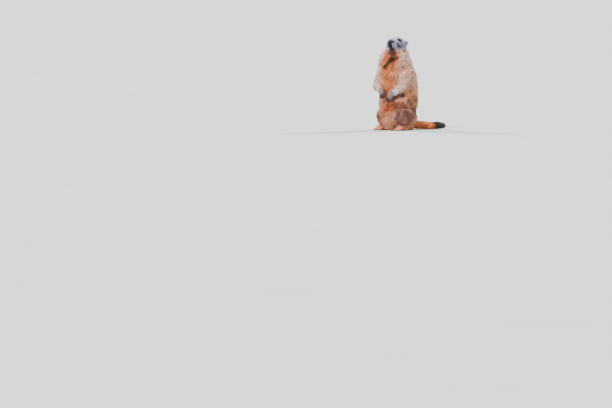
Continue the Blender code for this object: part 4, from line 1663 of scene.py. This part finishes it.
@dataclass
class Tufts:
    """The coat's hair: thin, bent, tapered tufts that lie over the skin."""

    coat: Coat
    skin: bpy.types.Object
    seed: int = 5
    # How many tufts share a lock, and the most that a piece holds.
    clump: int = 22
    per_piece: int = 19500
    # How many tufts grow on each square centimetre, for a coat as long as the torso's, and how many times
    # more on the tail.
    density: float = 30.0
    tail_crowd: float = 2.6
    # The hair's length at which that many grow, the least and most times more, and the length of no hair.
    full_hair: float = 26.0
    crowd_limits: Row = (0.8, 5.0)
    bare_hair: float = 1.4
    # How far the roots stay from the floor, the eyes and the mouth line.
    floor_gap: float = 1.5
    eye_gap: float = 0.8
    mouth_gap: float = 1.5
    # How far the hair's way wanders in waves and from tuft to tuft, and how much a tuft bends sideways.
    wander: float = 0.16
    sway: float = 0.07
    curl: float = 0.1
    # The least share of the coat's length and rise that a tuft has, and how much more it may have.
    length_shares: Row = (0.78, 0.4)
    lift_shares: Row = (0.7, 0.5)
    # The share of tufts that stand off the coat, and how many times further.
    stray_share: float = 0.05
    stray_lift: float = 1.25
    # The least pull towards a lock's middle, how much more it may be, and how uneven the locks' tones are.
    pull: Row = (0.35, 0.4)
    lock_tone: float = 0.17
    # The half size of a tuft's patch on the bake map.
    patch_size: float = 0.0015
    dice: np.random.Generator = field(init=False)

    def __post_init__(self) -> None:
        """Starts the dice that every draw comes from."""
        self.dice = np.random.default_rng(self.seed)

    def crowd(self, places: np.ndarray) -> np.ndarray:
        """Works out how much closer than on the torso the tufts grow.

        Args:
            places: Places on the skin in metres, one a row.

        Returns:
            A number for each place, 0 where the skin is bare.
        """
        lie = self.coat.lie(places)
        crowd = np.clip(self.full_hair / np.maximum(lie.hair, 2.5), *self.crowd_limits)
        crowd[lie.hair < self.bare_hair] = 0
        crowd[lie.limb == self.coat.index_of("tail")] *= self.tail_crowd
        return crowd

    def clear(self, places: np.ndarray) -> np.ndarray:
        """Finds what is clear of the floor, the eyes, the nose pad and the mouth.

        Args:
            places: Places on the skin in metres, one a row.

        Returns:
            True or False for each place.
        """
        found = places[:, 2] > self.floor_gap * MM
        for name, side in SIDES:
            middle, radius, _ = Skin.eye(name, side)
            found &= np.linalg.norm(places - np.array(middle), axis=1) > radius + self.eye_gap * MM
        (forward, sideways, up), (_, wide, tall) = HEAD.nose
        reach = np.array((wide - 0.4, 12, tall - 0.2))
        across = (HEAD.local(places) - np.array((sideways, -forward, up))) / reach
        found &= np.linalg.norm(across, axis=1) > 1
        return found & (self.coat.from_mouth(places) > self.mouth_gap)

    def roots(self) -> tuple[np.ndarray, np.ndarray]:
        """Draws the places where tufts grow.

        Returns:
            The places, and the way the skin faces at each.
        """
        mesh = self.skin.data
        mesh.calc_loop_triangles()
        corners = np.empty(len(mesh.loop_triangles) * 3, np.int32)
        mesh.loop_triangles.foreach_get("vertices", corners)
        corners = corners.reshape(-1, 3)
        places, ways = values_of(mesh, "co"), values_of(mesh, "normal")
        a, b, c = (places[corners[:, i]] for i in range(3))
        areas = np.linalg.norm(np.cross(b - a, c - a), axis=1) / 2
        expected = areas * 1e4 * self.density * self.crowd((a + b + c) / 3)
        count = np.floor(expected + self.dice.random(len(expected))).astype(int)
        face = np.repeat(np.arange(len(count)), count)
        r1, r2 = self.dice.random((2, len(face)))
        s = np.sqrt(r1)
        share = np.stack([1 - s, s * (1 - r2), s * r2], 1)[:, :, None]
        place = (places[corners[face]] * share).sum(1)
        way = unit((ways[corners[face]] * share).sum(1))
        clear = self.clear(place)
        return place[clear], way[clear]

    def clumped(
        self, roots: np.ndarray, tips: np.ndarray, hair: np.ndarray
    ) -> tuple[np.ndarray, np.ndarray]:
        """Draws the tips of neighbours together into loose locks.

        Args:
            roots: Where the tufts grow.
            tips: Where they end.
            hair: How long they are.

        Returns:
            Where they end once drawn together, and how much lighter or darker each one's lock is.
        """
        centres = self.dice.permutation(len(roots))[: len(roots) // self.clump]
        tree = KDTree(len(centres))
        for index, root in enumerate(roots[centres]):
            tree.insert(root, index)
        tree.balance()
        nearest = np.array([tree.find(root)[1] for root in roots])
        centre = centres[nearest]
        least, more = self.pull
        pull = np.clip((hair - 4) / 18, 0, 1) * (least + more * self.dice.random(len(roots)))
        goal = tips[centre] + (roots - roots[centre]) * 0.3
        tone = self.dice.normal(0, self.lock_tone, len(centres))[nearest]
        return tips + (goal - tips) * pull[:, None], tone

    def strands(self) -> Strands:
        """Draws every tuft of the coat.

        Returns:
            Where they run and their colours.
        """
        roots, out = self.roots()
        lie = self.coat.lie(roots)
        dice = self.dice
        count = len(roots)
        way = lie.way + np.stack([ripple(roots, 16, seed) for seed in (1.0, 2.0, 3.0)], 1) * self.wander
        way += dice.normal(0, self.sway, (count, 3))
        way = unit(way - out * (way * out).sum(1, keepdims=True))
        side = np.cross(out, way)
        least, more = self.length_shares
        hair = lie.hair * (least + more * dice.random(count)) * (1 + 0.12 * ripple(roots, 24, 7.0))
        least, more = self.lift_shares
        lift = lie.lift * (least + more * dice.random(count)) * (1 + 0.22 * ripple(roots, 14, 9.0))
        lift[dice.random(count) < self.stray_share] *= self.stray_lift
        bend = dice.normal(0, self.curl, count) * hair
        tips = roots + (way * hair[:, None] + out * lift[:, None] + side * bend[:, None]) * MM
        tips, tone = self.clumped(roots, tips, hair)
        reach = np.maximum(tips[:, :2] - roots[:, :2], 1e-6)
        room = (np.array(BUILD.tail_reach) * MM - roots[:, :2]) / reach
        tips = roots + (tips - roots) * np.clip(room.min(1), 0.3, 1)[:, None]
        arch = out * (lift * 0.26)[:, None] * MM - side * (bend * 0.2)[:, None] * MM
        middles = roots + (tips - roots) * 0.5 + arch
        return Strands(roots, middles, tips, out, side, lie, self.tint(lie, roots, tone))

    def tint(
        self, lie: Lie, roots: np.ndarray, tone: np.ndarray
    ) -> tuple[np.ndarray, np.ndarray, np.ndarray]:
        """Draws each tuft's colours.

        Args:
            lie: How the coat lies at each tuft.
            roots: Where the tufts grow.
            tone: How much lighter or darker each one's lock is.

        Returns:
            The colours at the root, the middle and the tip.
        """
        dice = self.dice
        count = len(roots)
        uneven = 1 + tone + 0.14 * ripple(roots, 9, 4.0) + 0.1 * dice.normal(0, 1, count)
        base = np.clip(lie.colour * uneven[:, None], 0.004, 0.95)
        pick = dice.random(count)
        dark = (pick < lie.grizzle * 0.45)[:, None]
        pale = (pick > 1 - lie.grizzle * 0.45)[:, None]
        cream = Shade.CREAM.light()
        long = np.clip((lie.hair - 3) / 12, 0, 1)[:, None]
        root = base * (1 - 0.42 * long)
        middle = np.where(dark, base * 0.34, base * 0.97)
        tip = base * (1 + 0.12 * long) + cream * 0.10 * long * base.mean(1, keepdims=True) * 2
        tip = np.where(dark, base * 0.42, tip)
        tip = np.where(pale, base * 0.45 + cream * 0.5, tip)
        return root, middle, np.clip(tip, 0.003, 0.92)

    def ordered(self, strands: Strands) -> list[tuple[str, np.ndarray]]:
        """Shares the tufts out among pieces, limb by limb and from the top down.

        Args:
            strands: Every tuft of the coat.

        Returns:
            Each piece's name and the numbers of its tufts.
        """
        groups: dict[str, list[int]] = {}
        for index, limb in enumerate(self.coat.limbs):
            kind = limb.name.split("_")
            if kind[0] in ("arm", "forearm", "paw"):
                key = "arm_" + kind[1]
            elif kind[0] in ("thigh", "shin", "foot"):
                key = "leg_" + kind[1]
            else:
                key = limb.name
            groups.setdefault(key, []).append(index)
        found = []
        for key, indices in groups.items():
            chosen = np.where(np.isin(strands.lie.limb, indices))[0]
            chosen = chosen[np.argsort(-strands.roots[chosen, 2])]
            parts = max(1, math.ceil(len(chosen) / self.per_piece))
            for number, part in enumerate(np.array_split(chosen, parts)):
                name = f"coat_{key}" if parts == 1 else f"coat_{key}_{number + 1}"
                found.append((name, part))
        return found

    @staticmethod
    def mesh(name: str, chosen: np.ndarray, strands: Strands) -> bpy.types.Mesh:
        """Builds the mesh of the chosen tufts, seven points and ten triangles each.

        Args:
            name: The mesh's name.
            chosen: The numbers of the tufts.
            strands: Every tuft of the coat.

        Returns:
            The mesh.
        """
        out, side, middle = strands.out[chosen], strands.side[chosen], strands.middles[chosen]
        half = (strands.lie.width[chosen] * 0.5 * MM)[:, None]
        low = strands.roots[chosen] - out * 0.8 * MM
        points = np.stack(
            [
                low - side * half * 0.8,
                low + side * half * 0.8,
                low + out * half * 0.8,
                middle - side * half,
                middle + side * half,
                middle + out * half * 0.7,
                strands.tips[chosen],
            ],
            1,
        ).reshape(-1, 3)
        points[:, 2] = np.maximum(points[:, 2], 0.6 * MM)
        total = len(chosen)
        corners = (np.array(TUFT_FACES)[None] + (np.arange(total) * 7)[:, None, None]).reshape(-1)
        mesh = bpy.data.meshes.new(name)
        mesh.vertices.add(total * 7)
        mesh.vertices.foreach_set("co", points.astype(np.float32).ravel())
        mesh.loops.add(len(corners))
        mesh.loops.foreach_set("vertex_index", corners.astype(np.int32))
        mesh.polygons.add(total * len(TUFT_FACES))
        mesh.polygons.foreach_set("loop_start", np.arange(0, len(corners), 3, dtype=np.int32))
        mesh.update(calc_edges=True)
        mesh.validate()
        root, middle, tip = (colours[chosen] for colours in strands.tint)
        coloured(mesh, HUE, np.stack([root] * 3 + [middle] * 3 + [tip], 1).reshape(-1, 3))
        return mesh

    def bake_map(self, mesh: bpy.types.Mesh, chosen: np.ndarray, strands: Strands) -> None:
        """Lays each tuft as a small patch at its root's place on the skin unrolled round its limb.

        Args:
            mesh: The mesh of the chosen tufts.
            chosen: The numbers of the tufts.
            strands: Every tuft of the coat.
        """
        places = strands.roots[chosen]
        limb, along = strands.lie.limb[chosen], strands.lie.along[chosen]
        turn = np.zeros(len(places))
        for index, stretch in enumerate(self.coat.limbs):
            here = limb == index
            path = np.array(stretch.path, float) * MM
            t = np.clip(along[here], 0, 1) * (len(path) - 1)
            k = np.minimum(t.astype(int), len(path) - 2)
            away = places[here] - (path[k] + (path[k + 1] - path[k]) * (t - k)[:, None])
            way = unit((path[-1] - path[0])[None])[0]
            reference = np.array((0, 1, 0)) if abs(way[2]) > 0.7 else np.array((0, 0, 1))
            across = unit(np.cross(way, reference)[None])[0]
            turn[here] = np.arctan2(away @ across, away @ np.cross(across, way)) / (2 * math.pi) + 0.5
        far = limb + along - places[:, 2] * 0.8
        far = (far - far.min()) / max(np.ptp(far), 1e-6)
        middles = np.stack([0.01 + 0.98 * turn, 0.01 + 0.98 * far], 1)
        uv = (middles[:, None] + (np.array(TUFT_PATCH) * self.patch_size)[None]).reshape(-1, 2)
        layer = mesh.uv_layers.new(name=BAKE_MAP)
        corners = np.empty(len(mesh.loops), np.int32)
        mesh.loops.foreach_get("vertex_index", corners)
        layer.uv.foreach_set("vector", uv[corners].astype(np.float32).ravel())

    def build(self, material: bpy.types.Material) -> None:
        """Makes the coat in pieces.

        Args:
            material: The finish it wears.
        """
        strands = self.strands()
        for name, chosen in self.ordered(strands):
            mesh = self.mesh(name, chosen, strands)
            self.bake_map(mesh, chosen, strands)
            piece = placed(name, mesh)
            dressed(piece, material)
            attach(piece, BODY)
            LOG.info("%s: %d tufts, %d triangles", name, len(chosen), len(mesh.polygons))


@dataclass(frozen=True)
class Eyes:
    """The two dark eyes."""

    # The ball's radius over the solid's, its sides, and the turn from the pupil's middle to the rim.
    share: float = 0.985
    sides: int = 48
    rim: float = 62.0

    def build(self, material: bpy.types.Material) -> None:
        """Makes each eye in its solid's place.

        Args:
            material: The finish they wear.
        """
        for name, side in SIDES:
            middle, radius, outward = Skin.eye(name, side)
            clay = Clay()
            turn = outward.to_track_quat("Z", "Y").to_matrix().to_4x4()
            clay.ball(middle, evenly(radius * self.share), turn, self.sides)
            made = clay.object("eyeball_" + name)
            ways = unit(values_of(made.data, "co") - np.array(middle))
            rise = np.arccos(np.clip(ways @ np.array(outward), -1, 1)) / math.radians(self.rim)
            coloured(made.data, "gaze", np.clip(rise, 0, 1)[:, None].repeat(3, 1))
            dressed(made, material)
            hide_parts("eye_" + name)
            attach(made, BODY)
            LOG.info("eye %s: %d faces", name, len(made.data.polygons))


@dataclass(frozen=True)
class Nose:
    """The nose pad with its two comma-shaped nostrils and the groove below them."""

    voxel: float = 0.42
    hole_voxel: float = 0.4
    # Each form is its middle, from the pad's, and its radii, both as u, sideways and w.
    wing: Rows = ((1.2, 5.8, -1.2), (4.6, 5.4, 5.4))
    ridge: Rows = ((1.5, 0, 1.8), (4.2, 6.6, 4.2))
    base: Rows = ((1.4, 0, -6.0), (3.0, 2.8, 4.4))
    nostril: tuple[Rows, ...] = (((5.8, 5.2, -1.0), (3.4, 2.1, 2.1)), ((4.2, 7.8, -0.1), (3.2, 2.9, 1.0)))
    groove_front: float = 6.0
    groove_heights: Row = (-0.5, -4, -8, -12)
    groove_radii: Row = (0.3, 0.55, 0.6, 0.6)

    @staticmethod
    def form(values: Rows) -> Rows:
        """Gives a form with its middle in the head's frame."""
        return (tuple(a + b for a, b in zip(HEAD.nose[0], values[0])), values[1])

    def build(self, material: bpy.types.Material) -> None:
        """Makes the nose where the solid's is.

        Args:
            material: The finish it wears.
        """
        clay = Clay()
        HEAD.swell(clay, HEAD.nose)
        for side in (1, -1):
            HEAD.swell(clay, self.form(self.wing), side)
        HEAD.swell(clay, self.form(self.ridge))
        HEAD.swell(clay, self.form(self.base))
        made = clay.pressed("nose_pad", self.voxel, 4)
        for side in (1, -1):
            hole = Clay()
            for values in self.nostril:
                HEAD.swell(hole, self.form(values), side, 16)
            cut_with(made, hole.pressed("hole", self.hole_voxel, 2))
        forward, _, up = HEAD.nose[0]
        split = Clay()
        places = ((forward + self.groove_front, 0, up + height) for height in self.groove_heights)
        split.tube(tuple(tuple(HEAD.at(place) / MM) for place in places), self.groove_radii, sides=8)
        cut_with(made, split.object("split"))
        dressed(made, material)
        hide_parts("nose")
        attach(made, BODY)
        LOG.info("nose: %d faces", len(made.data.polygons))


@dataclass(frozen=True)
class Claws:
    """The claws of the four paws."""

    wear: float = 1.1

    def build(self, material: bpy.types.Material) -> None:
        """Makes the claws of each paw as one piece.

        Args:
            material: The finish they wear.
        """
        for index, (name, side) in enumerate(SIDES):
            for kind, digits in (("fore", fore_digits(index, side)), ("hind", hind_digits(side))):
                clay = Clay()
                digits.claws(clay)
                made = clay.object(f"claws_{kind}_{name}")
                long = digits.claw * MM
                tips = np.array([tuple(tip + way * long) for _, _, tip, way in digits.places()])
                places = values_of(made.data, "co")
                away = np.linalg.norm(places[:, None] - tips[None], axis=2).min(1) / long
                worn = np.clip(self.wear * (1 - away), 0, 1) ** 2
                coloured(made.data, "wear", worn[:, None].repeat(3, 1))
                dressed(made, material)
                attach(made, BODY)
                LOG.info("claws %s %s: %d faces", kind, name, len(made.data.polygons))


@dataclass(frozen=True)
class Bristles:
    """Whiskers grown by Geometry Nodes: one tapered, curved bristle at each root."""

    length: float = 34.0
    root_width: float = 0.42
    seed: int = 3
    # The shortest bristle's share of the longest, and that of the hairs over the eyes.
    shortest: float = 0.6
    brow_share: float = 0.45
    # The start, middle and end of a bristle of length one, its points and its corners.
    arc: Rows = ((0, 0, 0), (0, 0.0, 0.55), (0, -0.22, 1.0))
    points: int = 9
    corners: int = 5
    rows: Rows = (
        (60, 15, -8),
        (56, 18, -6),
        (52, 20, -9),
        (60, 16, -12),
        (55, 20, -12),
        (50, 22, -14),
        (59, 17, -16),
        (54, 20, -17),
        (49, 22, -19),
    )
    brow_rows: Rows = ((30, 26, 25), (34, 24, 24))

    def tree(self, material: bpy.types.Material) -> bpy.types.NodeTree:
        """Builds the node tree that grows a bristle at each point of a mesh.

        Args:
            material: The finish they wear.

        Returns:
            The node tree.
        """
        tree = bpy.data.node_groups.new("bristles", "GeometryNodeTree")
        face = tree.interface
        face.new_socket("Geometry", in_out="INPUT", socket_type="NodeSocketGeometry")
        for name in ("Length", "Root width"):
            face.new_socket(name, in_out="INPUT", socket_type="NodeSocketFloat")
        face.new_socket("Seed", in_out="INPUT", socket_type="NodeSocketInt")
        face.new_socket("Geometry", in_out="OUTPUT", socket_type="NodeSocketGeometry")

        def add(kind: str, settings: dict | None = None, inputs: dict | None = None) -> bpy.types.Node:
            """Adds a node.

            Args:
                kind: The node's type.
                settings: Its properties.
                inputs: A value or a link for each input named or numbered.

            Returns:
                The node.
            """
            node = tree.nodes.new(kind)
            for key, value in (settings or {}).items():
                setattr(node, key, value)
            for key, value in (inputs or {}).items():
                if isinstance(value, bpy.types.NodeSocket):
                    tree.links.new(value, node.inputs[key])
                else:
                    node.inputs[key].default_value = value
            return node

        def worked(operation: str, first: object, second: object) -> bpy.types.NodeSocket:
            """Gives the result of a sum on two numbers or links."""
            return add("ShaderNodeMath", {"operation": operation}, {0: first, 1: second}).outputs[0]

        given = add("NodeGroupInput")
        width, long = given.outputs["Root width"], given.outputs["Length"]
        start, middle, end = self.arc
        arc = add(
            "GeometryNodeCurveQuadraticBezier",
            inputs={"Resolution": self.points, "Start": start, "Middle": middle, "End": end},
        )
        taper = worked("SUBTRACT", 1.02, add("GeometryNodeSplineParameter").outputs["Factor"])
        ring = add("GeometryNodeCurvePrimitiveCircle", inputs={"Resolution": self.corners, "Radius": 0.5})
        skin = add(
            "GeometryNodeCurveToMesh",
            inputs={
                "Curve": arc.outputs[0],
                "Profile Curve": ring.outputs[0],
                "Scale": worked("MULTIPLY", taper, worked("DIVIDE", width, long)),
                "Fill Caps": True,
            },
        )
        aim = add("GeometryNodeInputNamedAttribute", {"data_type": "FLOAT_VECTOR"}, {"Name": "aim"})
        turn = add("FunctionNodeAlignRotationToVector", {"axis": "Z"}, {"Vector": aim.outputs[0]})
        size = add(
            "FunctionNodeRandomValue",
            {"data_type": "FLOAT"},
            {2: self.shortest, 3: 1.0, "Seed": given.outputs["Seed"]},
        )
        share = add("GeometryNodeInputNamedAttribute", {"data_type": "FLOAT"}, {"Name": "share"})
        grown = add(
            "GeometryNodeInstanceOnPoints",
            inputs={
                "Points": given.outputs["Geometry"],
                "Instance": skin.outputs[0],
                "Rotation": turn.outputs[0],
                "Scale": worked("MULTIPLY", worked("MULTIPLY", size.outputs[1], long), share.outputs[0]),
            },
        )
        real = add("GeometryNodeRealizeInstances", inputs={0: grown.outputs[0]})
        dress = add("GeometryNodeSetMaterial", inputs={0: real.outputs[0], "Material": material})
        add("NodeGroupOutput", inputs={0: dress.outputs[0]})
        return tree

    def roots(self, skin: bpy.types.Object) -> bpy.types.Mesh:
        """Finds the places that the bristles grow from.

        Args:
            skin: The skin that they are rooted on.

        Returns:
            A mesh with a point for each bristle, which carries its way and its share of the length.
        """
        tree = nearest_on(skin.data)
        places, ways, shares = [], [], []
        for _, side in SIDES:
            for rows, tilt, share in ((self.rows, -0.1, 1.0), (self.brow_rows, 0.5, self.brow_share)):
                for row in rows:
                    place, out, _, _ = tree.find_nearest(HEAD.at(row, side))
                    places.append(place - out * 0.4 * MM)
                    ways.append(tuple((out * 0.75 + HEAD.way((-0.35, 0.8, tilt), side)).normalized()))
                    shares.append(share)
        mesh = bpy.data.meshes.new("whisker_roots")
        mesh.from_pydata(places, [], [])
        aim = mesh.attributes.new("aim", "FLOAT_VECTOR", "POINT")
        aim.data.foreach_set("vector", np.array(ways, np.float32).ravel())
        mesh.attributes.new("share", "FLOAT", "POINT").data.foreach_set("value", shares)
        return mesh

    def build(self, skin: bpy.types.Object, material: bpy.types.Material) -> None:
        """Makes the whiskers and the hairs over the eyes, rooted on the skin.

        Args:
            skin: The skin that they grow from.
            material: The finish they wear.
        """
        made = placed("whiskers", self.roots(skin))
        group = self.tree(material)
        growing = made.modifiers.new("bristles", "NODES")
        growing.node_group = group
        sizes = {"Length": self.length * MM, "Root width": self.root_width * MM, "Seed": self.seed}
        for item in group.interface.items_tree:
            if item.in_out == "INPUT" and item.name in sizes:
                growing[item.identifier] = sizes[item.name]
        applied(made)
        made.data.shade_smooth()
        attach(made, BODY)
        LOG.info("whiskers: %d faces", len(made.data.polygons))


@dataclass(frozen=True)
class Studio:
    """The floor, the light and the camera."""

    # How many metres a pixel of the photograph spans at the animal, where the foot of the body's axis lies
    # in it, and its width and height.
    scale: float = 0.0051
    axis_pixel: tuple[float, float] = (397.0, 130.0)
    picture: tuple[int, int] = (612, 408)
    azimuth: float = 37.5
    elevation: float = 3.3
    lens: float = 400.0
    sensor: float = 36.0
    floor_half: float = 150.0
    air: Row = (1.0, 0.985, 0.97)
    air_strength: float = 0.9
    # Each lamp's name, its turn from the camera, its height and its strength.
    lamps: tuple[tuple[str, float, float, float], ...] = (
        ("key", -34, 42, 6.0),
        ("rim_left", -130, 32, 7.0),
        ("rim_right", 130, 34, 6.5),
    )
    lamp_width: float = 12.0

    def floor(self, material: bpy.types.Material) -> None:
        """Lays the pale floor.

        Args:
            material: The finish it wears.
        """
        bm = bmesh.new()
        bmesh.ops.create_grid(bm, x_segments=4, y_segments=4, size=self.floor_half)
        mesh = bpy.data.meshes.new("floor")
        bm.to_mesh(mesh)
        bm.free()
        made = placed("floor", mesh)
        dressed(made, material)

    def lights(self) -> None:
        """Sets plain soft studio light."""
        world = bpy.data.worlds.new("studio")
        world.use_nodes = True
        inputs = world.node_tree.nodes["Background"].inputs
        inputs["Color"].default_value = (*self.air, 1)
        inputs["Strength"].default_value = self.air_strength
        bpy.context.scene.world = world
        for name, turn, height, energy in self.lamps:
            lamp = bpy.data.lights.new(name, "SUN")
            lamp.energy = energy
            lamp.angle = math.radians(self.lamp_width)
            made = placed(name, lamp)
            made.rotation_mode = "QUATERNION"
            made.rotation_quaternion = facing(self.azimuth + turn, height).to_track_quat("Z", "Y")

    def camera(self) -> None:
        """Sets the camera at the photograph's angle and framing, with no shift."""
        back = facing(self.azimuth, self.elevation)
        right = facing(self.azimuth + 90, 0)
        up = back.cross(right).normalized()
        across = (self.picture[0] / 2 - self.axis_pixel[0]) * self.scale
        down = (self.axis_pixel[1] - self.picture[1] / 2) * self.scale
        distance = self.picture[0] * self.scale * self.lens / self.sensor
        lens = bpy.data.cameras.new("camera")
        lens.lens = self.lens
        lens.sensor_width = self.sensor
        lens.clip_end = 500
        made = placed("camera", lens)
        made.location = right * across + up * down + back * distance
        made.rotation_mode = "QUATERNION"
        made.rotation_quaternion = back.to_track_quat("Z", "Y")
        bpy.context.scene.camera = made


def main() -> None:
    """Builds the animal and its studio."""
    logging.basicConfig(level=logging.INFO, format="%(message)s")
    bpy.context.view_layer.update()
    studio = Studio()
    studio.camera()
    studio.lights()
    studio.floor(StudioFinish().material())
    coat = Coat()
    skin = Skin(coat).build(SkinFinish().material())
    Eyes().build(EyeFinish().material())
    Nose().build(NoseFinish().material())
    Claws().build(ClawFinish().material())
    Bristles().build(skin, WhiskerFinish().material())
    Tufts(coat, skin).build(FurFinish().material())


if __name__ == "__main__":
    main()
